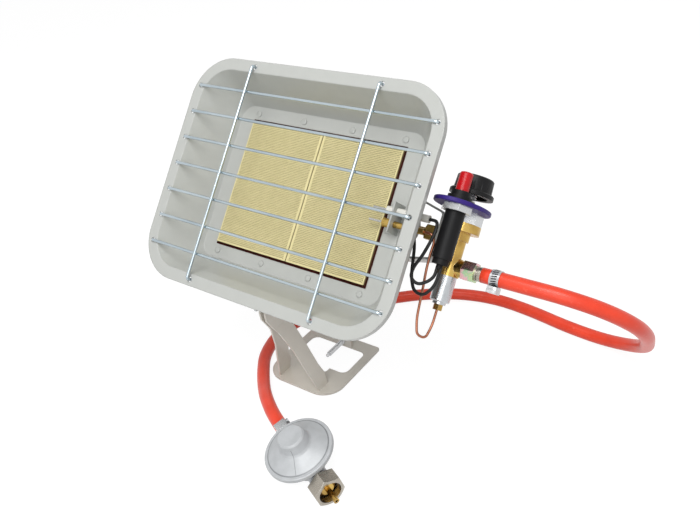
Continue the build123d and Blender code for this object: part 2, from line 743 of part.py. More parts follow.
def burner_housing():
    """Drawn box behind the plaques, with a flange against the reflector."""
    shell_width = POCKET_WIDTH + 2 * HOUSING_WALL
    shell_height = POCKET_HEIGHT + 2 * HOUSING_WALL
    floor_rear = POCKET_FLOOR + HOUSING_WALL
    rear = CHAMBER_REAR + HOUSING_WALL
    with BuildPart() as housing:
        block(
            facing(PLATE_BACK + HOUSING_WALL),
            shell_width + 2 * HOUSING_FLANGE,
            shell_height + 2 * HOUSING_FLANGE,
            HOUSING_WALL,
            HOUSING_FLANGE,
        )
        block(facing(floor_rear), shell_width, shell_height, floor_rear - PLATE_BACK, HOUSING_CORNER)
        block(
            facing(rear),
            CHAMBER_WIDTH + 2 * HOUSING_WALL,
            CHAMBER_HEIGHT + 2 * HOUSING_WALL,
            rear - POCKET_FLOOR,
            HOUSING_CORNER,
        )
        block(facing(POCKET_FLOOR), POCKET_WIDTH, POCKET_HEIGHT, POCKET_FLOOR - PLATE_BACK, mode=Mode.SUBTRACT)
        block(facing(CHAMBER_REAR), CHAMBER_WIDTH, CHAMBER_HEIGHT, CHAMBER_DEPTH, mode=Mode.SUBTRACT)
        with BuildSketch(facing(PLATE_BACK)):
            with Locations(*rivet_places()):
                Circle(RIVET_RADIUS + TOUCH)
        extrude(amount=-HOUSING_WALL, mode=Mode.SUBTRACT)
        inner_side = CHAMBER_WIDTH / 2
        rod(GAS_AXIS, MIXING_RADIUS + TOUCH, inner_side, CHAMBER_SIDE, Mode.SUBTRACT)
        for up in strap_screw_rows():
            rod(across(0, up, GAS_BACK), SCREW_RADIUS + TOUCH, inner_side, CHAMBER_SIDE, Mode.SUBTRACT)
        lug_back = (LUG_FOOT_FRONT + CHAMBER_REAR) / 2
        for x in lug_screw_columns():
            rod(level(0, x, lug_back), SCREW_RADIUS + TOUCH, CHAMBER_UNDERSIDE, -CHAMBER_HEIGHT / 2, Mode.SUBTRACT)
    finish(housing, "burner_housing")


def burner_rivets():
    """Rivets that hold the burner housing to the reflector's back plate."""
    tail_end = -(REFLECTOR_SHEET + HOUSING_WALL + RIVET_HEAD)
    with BuildPart() as rivets:
        for x, up in rivet_places():
            place = facing(REFLECTOR_DEPTH, x, up)
            rod(place, RIVET_HEAD_RADIUS, 0, RIVET_HEAD)
            rod(place, RIVET_RADIUS, tail_end, 0)
            rod(place, RIVET_HEAD_RADIUS, tail_end, tail_end + RIVET_HEAD)
    finish(rivets, "burner_rivets")


def mixing_tube():
    """Tube that takes gas and air into the chamber, flared at its mouth."""
    bore = MIXING_RADIUS - MIXING_WALL
    flare_start = MIXING_MOUTH - 2 * MIXING_FLARE
    outline = [
        (bore, MIXING_INNER_END),
        (MIXING_RADIUS, MIXING_INNER_END),
        (MIXING_RADIUS, flare_start),
        (MIXING_RADIUS + MIXING_FLARE, MIXING_MOUTH),
        (bore + MIXING_FLARE, MIXING_MOUTH),
        (bore, flare_start),
    ]
    with BuildPart() as pipe:
        spin(GAS_AXIS, outline)
    finish(pipe, "mixing_tube")


def gas_jet():
    """Brass jet that blows into the mixing tube's mouth."""
    tip = MIXING_MOUTH + JET_GAP
    seat = tip + JET_LENGTH
    with BuildPart() as jet:
        spin(
            GAS_AXIS,
            [
                (JET_ORIFICE, tip),
                (JET_RADIUS / 2, tip),
                (JET_RADIUS, tip + JET_RADIUS / 2),
                (JET_RADIUS, seat),
                (GAS_BORE, seat),
                (GAS_BORE, tip + JET_RADIUS),
                (JET_ORIFICE, tip + JET_RADIUS / 2),
            ],
        )
    finish(jet, "gas_jet")


def jet_holder():
    """Hexagonal fitting that draws the valve's outlet against the strap and holds the jet."""
    start = MIXING_MOUTH + JET_GAP + JET_LENGTH - JET_SEAT
    port_end = STRAP_WEB_X - PORT_LENGTH
    with BuildPart() as holder:
        hexagon(GAS_AXIS, JET_HOLDER_FLATS, start, STRAP_WEB_X)
        rod(GAS_AXIS, GAS_BORE, start, STRAP_WEB_X, Mode.SUBTRACT)
        rod(GAS_AXIS, JET_RADIUS + TOUCH, start, start + JET_SEAT, Mode.SUBTRACT)
        rod(GAS_AXIS, PORT_RADIUS + TOUCH, port_end, STRAP_WEB_X, Mode.SUBTRACT)
    finish(holder, "jet_holder")


# Strap bracket of the valve

def strap_screw_rows():
    """Heights of the two screws in the strap's feet."""
    return [STRAP_ARM_TOP + STRAP_FOOT / 2 + STRAP_THICKNESS, STRAP_ARM_BOTTOM - STRAP_FOOT / 2 - STRAP_THICKNESS]


def valve_strap():
    """Sheet strap that stands out from the housing's side and carries the valve."""
    front = GAS_BACK - STRAP_WIDTH / 2
    with BuildPart() as strap:
        with BuildSketch(facing(front)):
            with BuildLine():
                FilletPolyline(
                    (CHAMBER_SIDE, STRAP_ARM_TOP + STRAP_FOOT),
                    (CHAMBER_SIDE, STRAP_ARM_TOP),
                    (STRAP_WEB_X, STRAP_WEB_TOP),
                    (STRAP_WEB_X, STRAP_WEB_BOTTOM),
                    (CHAMBER_SIDE, STRAP_ARM_BOTTOM),
                    (CHAMBER_SIDE, STRAP_ARM_BOTTOM - STRAP_FOOT),
                    radius=STRAP_BEND,
                )
                offset(amount=STRAP_THICKNESS, side=Side.LEFT)
            make_face()
        extrude(amount=-STRAP_WIDTH)
        rod(GAS_AXIS, PORT_RADIUS + SLIP, STRAP_WEB_X, STRAP_FACE, Mode.SUBTRACT)
        for up in strap_screw_rows():
            rod(
                across(0, up, GAS_BACK),
                SCREW_RADIUS + SLIP,
                CHAMBER_SIDE,
                CHAMBER_SIDE + STRAP_THICKNESS,
                Mode.SUBTRACT,
            )
    finish(strap, "valve_strap")


def pan_screw(axis, seat, thread_end):
    """Pan-headed screw seated at one distance along an axis, its thread ending at another."""
    outward = 1 if seat > thread_end else -1
    rod(axis, SCREW_RADIUS, min(seat, thread_end), max(seat, thread_end))
    top = seat + outward * SCREW_HEAD
    edge = seat + outward * SCREW_HEAD / 2
    spin(axis, [(0, seat), (SCREW_HEAD_RADIUS, seat), (SCREW_HEAD_RADIUS, edge), (SCREW_RADIUS, top), (0, top)])
    slot = SCREW_HEAD_RADIUS / 3
    block(axis.offset(top), slot, 2 * SCREW_RADIUS, -outward * SCREW_HEAD / 2, mode=Mode.SUBTRACT)


def strap_screws():
    """Two screws through the strap's feet into the burner housing."""
    seat = CHAMBER_SIDE + STRAP_THICKNESS
    with BuildPart() as screws:
        for up in strap_screw_rows():
            pan_screw(across(0, up, GAS_BACK), seat, seat - SCREW_LENGTH)
    finish(screws, "valve_strap_screws")


# Control valve

def valve_body():
    """Brass body: threaded collar, flange, neck, cross block and its three branches."""
    outline = [
        (0, COLLAR_TOP),
        (COLLAR_RADIUS, COLLAR_TOP),
        (COLLAR_RADIUS, FLANGE_TOP),
        (FLANGE_RADIUS, FLANGE_TOP),
        (FLANGE_RADIUS, FLANGE_BOTTOM),
        (BODY_RADIUS, FLANGE_BOTTOM),
        (BODY_RADIUS, NECK_TOP),
        (NECK_RADIUS, NECK_TOP),
        (NECK_RADIUS, CROSS_TOP),
        (CROSS_RADIUS, CROSS_TOP),
        (CROSS_RADIUS, CROSS_BOTTOM),
        (CAP_THREAD_RADIUS, CROSS_BOTTOM),
        (CAP_THREAD_RADIUS, CAP_THREAD_END),
        (0, CAP_THREAD_END),
    ]
    with BuildPart() as body:
        spin(VALVE_AXIS, outline)
        block(
            across(STRAP_FACE + FLANGE_FLAT_GAP, (FLANGE_TOP + FLANGE_BOTTOM) / 2, VALVE_BACK),
            2 * FLANGE_RADIUS,
            FLANGE_TOP - FLANGE_BOTTOM,
            -FLANGE_RADIUS,
            mode=Mode.SUBTRACT,
        )
        rod(GAS_AXIS, PORT_SHOULDER_RADIUS, STRAP_FACE, VALVE_X)
        rod(GAS_AXIS, PORT_RADIUS, STRAP_WEB_X - PORT_LENGTH, VALVE_X)
        rod(HOSE_AXIS, BRANCH_RADIUS, VALVE_X, BRANCH_END)
        rod(HOSE_AXIS, PORT_RADIUS, VALVE_X, BRANCH_SPIGOT_END)
        rod(VALVE_AXIS, SPINDLE_RADIUS + SLIP, PLUG_SEAT, COLLAR_TOP, Mode.SUBTRACT)
        rod(VALVE_AXIS, PLUG_RADIUS + RUNNING, SEAT_TOP, PLUG_SEAT, Mode.SUBTRACT)
        rod(VALVE_AXIS, SEAT_BORE, SEAT_BOTTOM, SEAT_TOP, Mode.SUBTRACT)
        rod(VALVE_AXIS, SAFETY_BORE, CAP_THREAD_END, SEAT_BOTTOM, Mode.SUBTRACT)
        rod(GAS_AXIS, GAS_BORE, STRAP_WEB_X - PORT_LENGTH, VALVE_X, Mode.SUBTRACT)
        rod(HOSE_AXIS, GAS_BORE, VALVE_X, BRANCH_SPIGOT_END, Mode.SUBTRACT)
    finish(body, "valve_body")


def d_section(plane, radius, flat, length, mode=Mode.ADD):
    """Bar or hole of D section: round with one flat side."""
    with BuildSketch(plane) as face:
        Circle(radius)
        with Locations((flat + radius, 0)):
            Rectangle(2 * radius, 2 * radius, mode=Mode.SUBTRACT)
    extrude(face.sketch, amount=length, mode=mode)


def valve_plug():
    """Turning plug with a D hole for the spindle and a gas port in its side."""
    with BuildPart() as plug:
        rod(VALVE_AXIS, PLUG_RADIUS, PLUG_BOTTOM, PLUG_TOP)
        d_section(
            VALVE_AXIS.offset(PLUG_BOTTOM),
            SPINDLE_RADIUS + RUNNING,
            SPINDLE_FLAT + RUNNING,
            PLUG_TOP - PLUG_BOTTOM,
            Mode.SUBTRACT,
        )
        rod(GAS_AXIS, GAS_BORE, VALVE_X - PLUG_RADIUS, VALVE_X, Mode.SUBTRACT)
    finish(plug, "valve_plug")


def valve_spindle():
    """Steel spindle of D section, from the knob down to the flame guard's disc."""
    with BuildPart() as spindle:
        d_section(VALVE_AXIS.offset(SPINDLE_BOTTOM), SPINDLE_RADIUS, SPINDLE_FLAT, SPINDLE_TOP - SPINDLE_BOTTOM)
    finish(spindle, "valve_spindle")


def collar_nut():
    """Hexagonal nut on the collar, under the dial plate."""
    with BuildPart() as nut:
        hexagon(VALVE_AXIS, COLLAR_NUT_FLATS, FLANGE_TOP, DIAL_UNDERSIDE, turn=30)
        rod(VALVE_AXIS, COLLAR_RADIUS + TOUCH, FLANGE_TOP, DIAL_UNDERSIDE, Mode.SUBTRACT)
    finish(nut, "valve_collar_nut")


def top_nut():
    """Thin round nut on the collar, above the dial plate."""
    with BuildPart() as nut:
        ring(VALVE_AXIS, COLLAR_RADIUS + TOUCH, TOP_NUT_RADIUS, DIAL_TOP, DIAL_TOP + TOP_NUT_HEIGHT)
    finish(nut, "dial_plate_nut")


def dial_plate():
    """Oval plate that joins the valve and the piezo igniter."""
    middle_x = (VALVE_X + PIEZO_X) / 2
    middle_back = (VALVE_BACK + PIEZO_BACK) / 2
    between = Vector(VALVE_X - PIEZO_X, VALVE_BACK - PIEZO_BACK)
    turn = Vector(1, 0).get_signed_angle(between)
    with BuildPart() as plate:
        with BuildSketch(level(DIAL_UNDERSIDE, middle_x, middle_back)):
            Ellipse(DIAL_LENGTH / 2, DIAL_WIDTH / 2, rotation=turn)
        extrude(amount=DIAL_THICKNESS)
        fillet(plate.edges(), DIAL_EDGE)
        rod(VALVE_AXIS, COLLAR_RADIUS + TOUCH, DIAL_UNDERSIDE, DIAL_TOP, Mode.SUBTRACT)
        rod(PIEZO_AXIS, PIEZO_RADIUS + TOUCH, DIAL_UNDERSIDE, DIAL_TOP, Mode.SUBTRACT)
    finish(plate, "dial_plate")


def control_knob():
    """Fluted knob with a skirt, hollow below, with a boss on the spindle."""
    skirt_top = KNOB_BOTTOM + KNOB_SKIRT
    cavity_radius = KNOB_RADIUS - KNOB_WALL
    with BuildPart() as knob:
        spin(
            VALVE_AXIS,
            [
                (0, KNOB_BOTTOM),
                (KNOB_SKIRT_RADIUS, KNOB_BOTTOM),
                (KNOB_SKIRT_RADIUS, skirt_top - 1),
                (KNOB_SKIRT_RADIUS - 1, skirt_top),
                (KNOB_RADIUS, skirt_top),
                (KNOB_TOP_RADIUS, KNOB_TOP - 1),
                (KNOB_TOP_RADIUS - 1, KNOB_TOP),
                (0, KNOB_TOP),
            ],
        )
        ring(
            VALVE_AXIS,
            KNOB_BOSS_RADIUS,
            cavity_radius,
            KNOB_BOTTOM,
            KNOB_BOTTOM + KNOB_CAVITY,
            Mode.SUBTRACT,
        )
        rod(VALVE_AXIS, KNOB_BOSS_RADIUS, KNOB_BOTTOM, KNOB_BOSS_BOTTOM, Mode.SUBTRACT)
        d_section(
            VALVE_AXIS.offset(KNOB_BOSS_BOTTOM),
            SPINDLE_RADIUS + TOUCH,
            SPINDLE_FLAT + TOUCH,
            SPINDLE_TOP - KNOB_BOSS_BOTTOM,
            Mode.SUBTRACT,
        )
        with BuildSketch(VALVE_AXIS.offset(skirt_top)):
            with PolarLocations(KNOB_RADIUS + KNOB_FLUTE_RADIUS / 2, KNOB_FLUTES):
                Circle(KNOB_FLUTE_RADIUS)
        extrude(amount=KNOB_TOP - skirt_top, mode=Mode.SUBTRACT)
    finish(knob, "control_knob")


def knob_spring():
    """Spring that lifts the knob off the valve's collar."""
    with BuildPart() as spring:
        coil(VALVE_AXIS, KNOB_SPRING_RADIUS, COLLAR_TOP, KNOB_BOSS_BOTTOM, KNOB_SPRING_TURNS)
    finish(spring, "knob_spring")


# Flame guard

def safety_disc():
    """Disc and stem that the spindle pushes off its seat."""
    disc_top = SEAT_BOTTOM - DISC_GAP
    with BuildPart() as disc:
        rod(VALVE_AXIS, DISC_STEM_RADIUS, DISC_STEM_END, SPINDLE_BOTTOM - TOUCH)
        rod(VALVE_AXIS, DISC_RADIUS, disc_top - DISC_THICKNESS, disc_top)
    finish(disc, "safety_valve_disc")


def safety_spring():
    """Spring that closes the disc when the flame goes out."""
    disc_bottom = SEAT_BOTTOM - DISC_GAP - DISC_THICKNESS
    with BuildPart() as spring:
        coil(VALVE_AXIS, SAFETY_SPRING_RADIUS, MAGNET_TOP, disc_bottom, SAFETY_SPRING_TURNS)
    finish(spring, "safety_valve_spring")


def safety_magnet():
    """Magnet that the thermocouple's current feeds, with its stud through the cap."""
    floor = MAGNET_CAP_BOTTOM + MAGNET_CAP_FLOOR
    with BuildPart() as magnet:
        rod(VALVE_AXIS, MAGNET_RADIUS, floor, MAGNET_TOP)
        rod(VALVE_AXIS, MAGNET_STUD_RADIUS, MAGNET_CAP_BOTTOM - MAGNET_COLLAR, floor)
    finish(magnet, "safety_magnet")


def magnet_cap():
    """Turned cap that screws over the magnet."""
    floor = MAGNET_CAP_BOTTOM + MAGNET_CAP_FLOOR
    collar_end = MAGNET_CAP_BOTTOM - MAGNET_COLLAR
    with BuildPart() as cap:
        spin(
            VALVE_AXIS,
            [
                (MAGNET_STUD_RADIUS + TOUCH, collar_end),
                (MAGNET_COLLAR_RADIUS, collar_end),
                (MAGNET_COLLAR_RADIUS, MAGNET_CAP_BOTTOM),
                (MAGNET_CAP_RADIUS - 1, MAGNET_CAP_BOTTOM),
                (MAGNET_CAP_RADIUS, MAGNET_CAP_BOTTOM + 1),
                (MAGNET_CAP_RADIUS, CROSS_BOTTOM),
                (CAP_THREAD_RADIUS + TOUCH, CROSS_BOTTOM),
                (CAP_THREAD_RADIUS + TOUCH, CAP_THREAD_END),
                (MAGNET_RADIUS + TOUCH, CAP_THREAD_END),
                (MAGNET_RADIUS + TOUCH, floor),
                (MAGNET_STUD_RADIUS + TOUCH, floor),
            ],
        )
    finish(cap, "magnet_cap")


def capillary_end_nut():
    """Small brass nut that holds the capillary's end to the magnet."""
    top = MAGNET_CAP_BOTTOM - MAGNET_COLLAR
    bottom = top - END_NUT_HEIGHT
    with BuildPart() as nut:
        hexagon(VALVE_AXIS, END_NUT_FLATS, bottom, top)
        rod(VALVE_AXIS, CAPILLARY_RADIUS + TOUCH, bottom, CAPILLARY_ROUTE[-1][1], Mode.SUBTRACT)
    finish(nut, "capillary_end_nut")


# Piezo igniter

def piezo_body():
    """Black body of the igniter, with its threaded neck through the dial plate."""
    head_top = DIAL_TOP + PIEZO_HEAD
    with BuildPart() as body:
        spin(
            PIEZO_AXIS,
            [
                (0, PIEZO_TERMINAL_END),
                (PIEZO_TERMINAL_RADIUS, PIEZO_TERMINAL_END),
                (PIEZO_TERMINAL_RADIUS, PIEZO_BOTTOM),
                (PIEZO_STEP_RADIUS, PIEZO_BOTTOM),
                (PIEZO_STEP_RADIUS, PIEZO_STEP_TOP),
                (PIEZO_RADIUS, PIEZO_STEP_TOP),
                (PIEZO_RADIUS, DIAL_TOP),
                (PIEZO_HEAD_RADIUS, DIAL_TOP),
                (PIEZO_HEAD_RADIUS, head_top),
                (PIEZO_SLEEVE_RADIUS, head_top),
                (PIEZO_SLEEVE_RADIUS, PIEZO_SLEEVE_TOP),
                (BUTTON_RADIUS + RUNNING, PIEZO_SLEEVE_TOP),
                (BUTTON_RADIUS + RUNNING, PIEZO_BORE_FLOOR),
                (0, PIEZO_BORE_FLOOR),
            ],
        )
        for route in (IGNITION_LEAD_ROUTE, EARTH_LEAD_ROUTE):
            lead_x, lead_end, lead_back = route[-1]
            rod(level(0, lead_x, lead_back), LEAD_RADIUS + TOUCH, PIEZO_TERMINAL_END, lead_end, Mode.SUBTRACT)
    finish(body, "piezo_body")


def piezo_ring_nut():
    """Nut that holds the igniter to the dial plate from below."""
    bottom = DIAL_UNDERSIDE - PIEZO_NUT_HEIGHT
    with BuildPart() as nut:
        hexagon(PIEZO_AXIS, PIEZO_NUT_FLATS, bottom, DIAL_UNDERSIDE)
        rod(PIEZO_AXIS, PIEZO_RADIUS + TOUCH, bottom, DIAL_UNDERSIDE, Mode.SUBTRACT)
    finish(nut, "piezo_ring_nut")


def piezo_button():
    """Red push button with a rounded top."""
    with BuildPart() as button:
        spin(
            PIEZO_AXIS,
            [
                (0, BUTTON_BOTTOM),
                (BUTTON_RADIUS, BUTTON_BOTTOM),
                (BUTTON_RADIUS, BUTTON_TOP - BUTTON_EDGE),
                (BUTTON_RADIUS - BUTTON_EDGE / 3, BUTTON_TOP - BUTTON_EDGE / 3),
                (BUTTON_RADIUS - BUTTON_EDGE, BUTTON_TOP),
                (0, BUTTON_TOP),
            ],
        )
    finish(button, "piezo_button")


def piezo_spring():
    """Spring that lifts the push button."""
    with BuildPart() as spring:
        coil(PIEZO_AXIS, PIEZO_SPRING_RADIUS, PIEZO_BORE_FLOOR, BUTTON_BOTTOM, PIEZO_SPRING_TURNS)
    finish(spring, "piezo_spring")


# Thermocouple, electrode and their leads

def sensor_bracket():
    """Angle on the back plate that carries the thermocouple and the electrode."""
    foot_width = BRACKET_X - BRACKET_FOOT_START
    depth = REFLECTOR_DEPTH - BRACKET_FRONT
    height = 2 * BRACKET_HALF_HEIGHT
    face_x = BRACKET_X - BRACKET_SHEET
    with BuildPart() as bracket:
        block(facing(REFLECTOR_DEPTH, BRACKET_X - foot_width / 2), foot_width, height, BRACKET_SHEET)
        block(facing(REFLECTOR_DEPTH, BRACKET_X - BRACKET_SHEET / 2), BRACKET_SHEET, height, depth)
        rod(
            across(0, THERMOCOUPLE_UP, SENSOR_BACK),
            THERMOCOUPLE_BODY_RADIUS + SLIP,
            face_x,
            BRACKET_X,
            Mode.SUBTRACT,
        )
        rod(across(0, ELECTRODE_UP, SENSOR_BACK), INSULATOR_RADIUS + SLIP, face_x, BRACKET_X, Mode.SUBTRACT)
    finish(bracket, "sensor_bracket")


def thermocouple():
    """Thin sensing rod in front of the plaque, on a brass body that leaves the bowl."""
    axis = across(0, THERMOCOUPLE_UP, SENSOR_BACK)
    with BuildPart() as sensor:
        rod(axis, THERMOCOUPLE_ROD_RADIUS, THERMOCOUPLE_TIP, THERMOCOUPLE_BODY_START)
        rod(axis, THERMOCOUPLE_HEAD_RADIUS, THERMOCOUPLE_BODY_START, THERMOCOUPLE_HEAD_END)
        rod(axis, THERMOCOUPLE_BODY_RADIUS, THERMOCOUPLE_HEAD_END, THERMOCOUPLE_BODY_END)
    finish(sensor, "thermocouple")


def thermocouple_nut():
    """Brass nut that draws the thermocouple against the bowl's wall."""
    axis = across(0, THERMOCOUPLE_UP, SENSOR_BACK)
    end = THERMOCOUPLE_NUT_START + THERMOCOUPLE_NUT_LENGTH
    with BuildPart() as nut:
        hexagon(axis, THERMOCOUPLE_NUT_FLATS, THERMOCOUPLE_NUT_START, end)
        rod(axis, THERMOCOUPLE_BODY_RADIUS + TOUCH, THERMOCOUPLE_NUT_START, end, Mode.SUBTRACT)
    finish(nut, "thermocouple_nut")


def capillary():
    """Copper tube from the thermocouple to the magnet, with one drooping loop."""
    with BuildPart() as pipe:
        tube([head_point(*corner) for corner in CAPILLARY_ROUTE], CAPILLARY_RADIUS)
    finish(pipe, "thermocouple_capillary")


def ignition_electrode():
    """Metal rod through the insulator, its tip in front of the plaque."""
    with BuildPart() as electrode:
        rod(across(0, ELECTRODE_UP, SENSOR_BACK), ELECTRODE_RADIUS, ELECTRODE_TIP, INSULATOR_END)
    finish(electrode, "ignition_electrode")


def electrode_insulator():
    """White ceramic sleeve round the electrode, through the bracket and the bowl's wall."""
    axis = across(0, ELECTRODE_UP, SENSOR_BACK)
    with BuildPart() as sleeve:
        ring(axis, ELECTRODE_RADIUS + TOUCH, INSULATOR_RADIUS, INSULATOR_START, INSULATOR_END)
    finish(sleeve, "electrode_insulator")


def ignition_lead():
    """Black high-tension lead from the electrode to the igniter."""
    with BuildPart() as lead:
        tube([head_point(*corner) for corner in IGNITION_LEAD_ROUTE], LEAD_RADIUS)
    finish(lead, "ignition_lead")


def earth_lead():
    """Black return lead from its tag on the bowl's back to the igniter."""
    with BuildPart() as lead:
        tube([head_point(*corner) for corner in EARTH_LEAD_ROUTE], LEAD_RADIUS)
    finish(lead, "earth_lead")


# Hose coupling

def coupling_nut():
    """Hexagonal nut that draws the hose barb to the valve's branch."""
    with BuildPart() as nut:
        hexagon(HOSE_AXIS, COUPLING_FLATS, BRANCH_END, COUPLING_END)
        rod(HOSE_AXIS, PORT_RADIUS + TOUCH, BRANCH_END, COUPLING_END, Mode.SUBTRACT)
    finish(nut, "hose_coupling_nut")


def barb_outline(start, end, direction):
    """Ridged tail of a hose barb, from its collar to its tip, as (radius, distance) points."""
    pitch = (end - start) / BARB_RIDGES
    points = []
    for ridge in range(BARB_RIDGES):
        near = start + ridge * pitch
        points.append((BARB_RADIUS, near))
        points.append((BARB_RIDGE_RADIUS, near + 0.2 * pitch))
        points.append((BARB_RADIUS, near + 0.9 * pitch))
    points.append((BARB_RADIUS, end))
    return points if direction > 0 else points[::-1]


def hose_barb():
    """Ribbed nipple that the hose is pushed on to."""
    collar_groove = (HOSE_START - COUPLING_END) / 2
    groove_start = COUPLING_END + collar_groove / 2
    outline = [
        (BARB_BORE, BRANCH_SPIGOT_END),
        (PORT_RADIUS, BRANCH_SPIGOT_END),
        (PORT_RADIUS, COUPLING_END),
        (BARB_COLLAR_RADIUS, COUPLING_END),
        (BARB_COLLAR_RADIUS, groove_start),
        (PORT_RADIUS, groove_start),
        (PORT_RADIUS, groove_start + collar_groove / 2),
        (BARB_COLLAR_RADIUS, groove_start + collar_groove / 2),
        (BARB_COLLAR_RADIUS, HOSE_START - TOUCH),
    ]
    outline += barb_outline(HOSE_START - TOUCH, HOSE_START + BARB_TAIL, 1)
    outline.append((BARB_BORE, HOSE_START + BARB_TAIL))
    with BuildPart() as barb:
        spin(HOSE_AXIS, outline)
    finish(barb, "hose_barb")


# Hose and its clamps

def hose_points():
    """Corners of the hose's route, from the valve's barb to the regulator's."""
    valve_end = head_point(HOSE_START, HOSE_UP, VALVE_BACK)
    first_corner = head_point(HOSE_START + HOSE_FIRST_RUN, HOSE_UP, VALVE_BACK)
    last_corner = FLOW_AXIS.offset(OUTLET_END - HOSE_FIRST_RUN).origin
    regulator_end = FLOW_AXIS.offset(OUTLET_END).origin
    middle = [stand_point(*corner) for corner in HOSE_ROUTE]
    return [valve_end, first_corner] + middle + [last_corner, regulator_end]


def hose():
    """Red gas hose, from the valve in a loop over the table to the regulator."""
    points = hose_points()
    radii = bend_radii(points)
    with BuildPart() as pipe:
        route = tube(points, HOSE_RADIUS, HOSE_BORE)
    section = pi * (HOSE_RADIUS**2 - HOSE_BORE**2)
    print("hose bend radii", [round(radius) for radius in radii])
    print("hose length", round(route.length, 1))
    print("hose volume over section times length", round(pipe.part.volume / (section * route.length), 4))
    finish(pipe, "gas_hose")


def hose_clamp(name, axis, middle):
    """Worm-drive clamp: band round the hose, the screw's housing on the side away from X."""
    start = middle - CLAMP_WIDTH / 2
    end = middle + CLAMP_WIDTH / 2
    inner = HOSE_RADIUS + RUNNING
    outer = inner + CLAMP_BAND
    housing_middle = outer + CLAMP_HOUSING_HEIGHT / 2 - CLAMP_BAND / 2
    with BuildPart() as clamp:
        rod(axis, outer, start, end)
        with BuildSketch(axis.offset(start)):
            with Locations((-housing_middle, 0)):
                Rectangle(CLAMP_HOUSING_HEIGHT, CLAMP_HOUSING_LENGTH)
        extrude(amount=CLAMP_WIDTH)
        rod(axis, inner, start, end, Mode.SUBTRACT)
        screw_axis = clamp_screw_axis(axis, middle)
        rod(
            screw_axis,
            CLAMP_SCREW_RADIUS + TOUCH,
            -CLAMP_HOUSING_LENGTH / 2,
            CLAMP_HOUSING_LENGTH / 2,
            Mode.SUBTRACT,
        )
    finish(clamp, name)


def clamp_screw_axis(axis, middle):
    """Axis of the worm screw, tangent to the band."""
    offset_x = HOSE_RADIUS + RUNNING + CLAMP_BAND + CLAMP_HOUSING_HEIGHT / 2 - CLAMP_BAND / 2
    base = axis.offset(middle)
    return Plane(origin=base.origin - base.x_dir * offset_x, x_dir=base.z_dir, z_dir=base.y_dir)


def worm_screw(name, axis, middle):
    """Worm screw with a slotted hexagonal head."""
    half = CLAMP_HOUSING_LENGTH / 2
    screw_axis = clamp_screw_axis(axis, middle)
    with BuildPart() as screw:
        rod(screw_axis, CLAMP_SCREW_RADIUS, -half, half)
        hexagon(screw_axis, CLAMP_SCREW_HEAD_RADIUS * sqrt(3), half, half + CLAMP_SCREW_HEAD)
        block(
            screw_axis.offset(half + CLAMP_SCREW_HEAD),
            3 * CLAMP_SCREW_HEAD_RADIUS,
            CLAMP_SCREW_HEAD_RADIUS / 3,
            -CLAMP_SCREW_HEAD / 2,
            mode=Mode.SUBTRACT,
        )
    finish(screw, name)


# Regulator

def regulator_body():
    """Cast lower half: foot, bowl with a flange, inlet boss and outlet barb."""
    with BuildPart() as body:
        spin(
            DISC_AXIS,
            [
                (0, BOWL_FOOT),
                (BOWL_WAIST_RADIUS, BOWL_FOOT),
                (BOWL_WAIST_RADIUS, BOWL_WAIST),
                (BOWL_RADIUS, DISC_RIM_BOTTOM),
                (DISC_RIM_RADIUS - 0.8, DISC_RIM_BOTTOM),
                (DISC_RIM_RADIUS, DISC_RIM_BOTTOM + 0.8),
                (DISC_RIM_RADIUS, DISC_RIM_JOINT),
                (0, DISC_RIM_JOINT),
            ],
        )
        rod(FLOW_AXIS, INLET_BOSS_RADIUS, 0, INLET_BOSS_END)
        rod(FLOW_AXIS, OUTLET_NECK_RADIUS, OUTLET_END + TOUCH, 0)
        spin(FLOW_AXIS, [(0, OUTLET_END - BARB_TAIL)] + mirrored_barb() + [(0, OUTLET_END + TOUCH)])
        spin(
            DISC_AXIS,
            [
                (0, BOWL_CAVITY_FLOOR),
                (BOWL_CAVITY_FLOOR_RADIUS, BOWL_CAVITY_FLOOR),
                (BOWL_CAVITY_RADIUS, BOWL_CAVITY_SHOULDER),
                (BOWL_CAVITY_RADIUS, DISC_RIM_JOINT),
                (0, DISC_RIM_JOINT),
            ],
            Mode.SUBTRACT,
        )
        post = DISC_AXIS.shift_origin(DISC_AXIS.from_local_coords(Vector(LEVER_POST_X, 0, 0)))
        rod(post, LEVER_WIDTH / 2, BOWL_CAVITY_FLOOR - 1, LEVER_HEIGHT)
        rod(DISC_AXIS, PASSAGE_RADIUS, 0, BOWL_CAVITY_FLOOR, Mode.SUBTRACT)
        rod(FLOW_AXIS, PASSAGE_RADIUS, OUTLET_END - BARB_TAIL, INLET_BOSS_END, Mode.SUBTRACT)
        rod(FLOW_AXIS, NIPPLE_NECK_RADIUS + TOUCH, NIPPLE_THREAD_START, INLET_BOSS_END, Mode.SUBTRACT)
    finish(body, "regulator_body")


def mirrored_barb():
    """The regulator's barb, whose tip points the other way."""
    tail = barb_outline(0, BARB_TAIL, -1)
    return [(radius, OUTLET_END + TOUCH - distance) for radius, distance in tail]


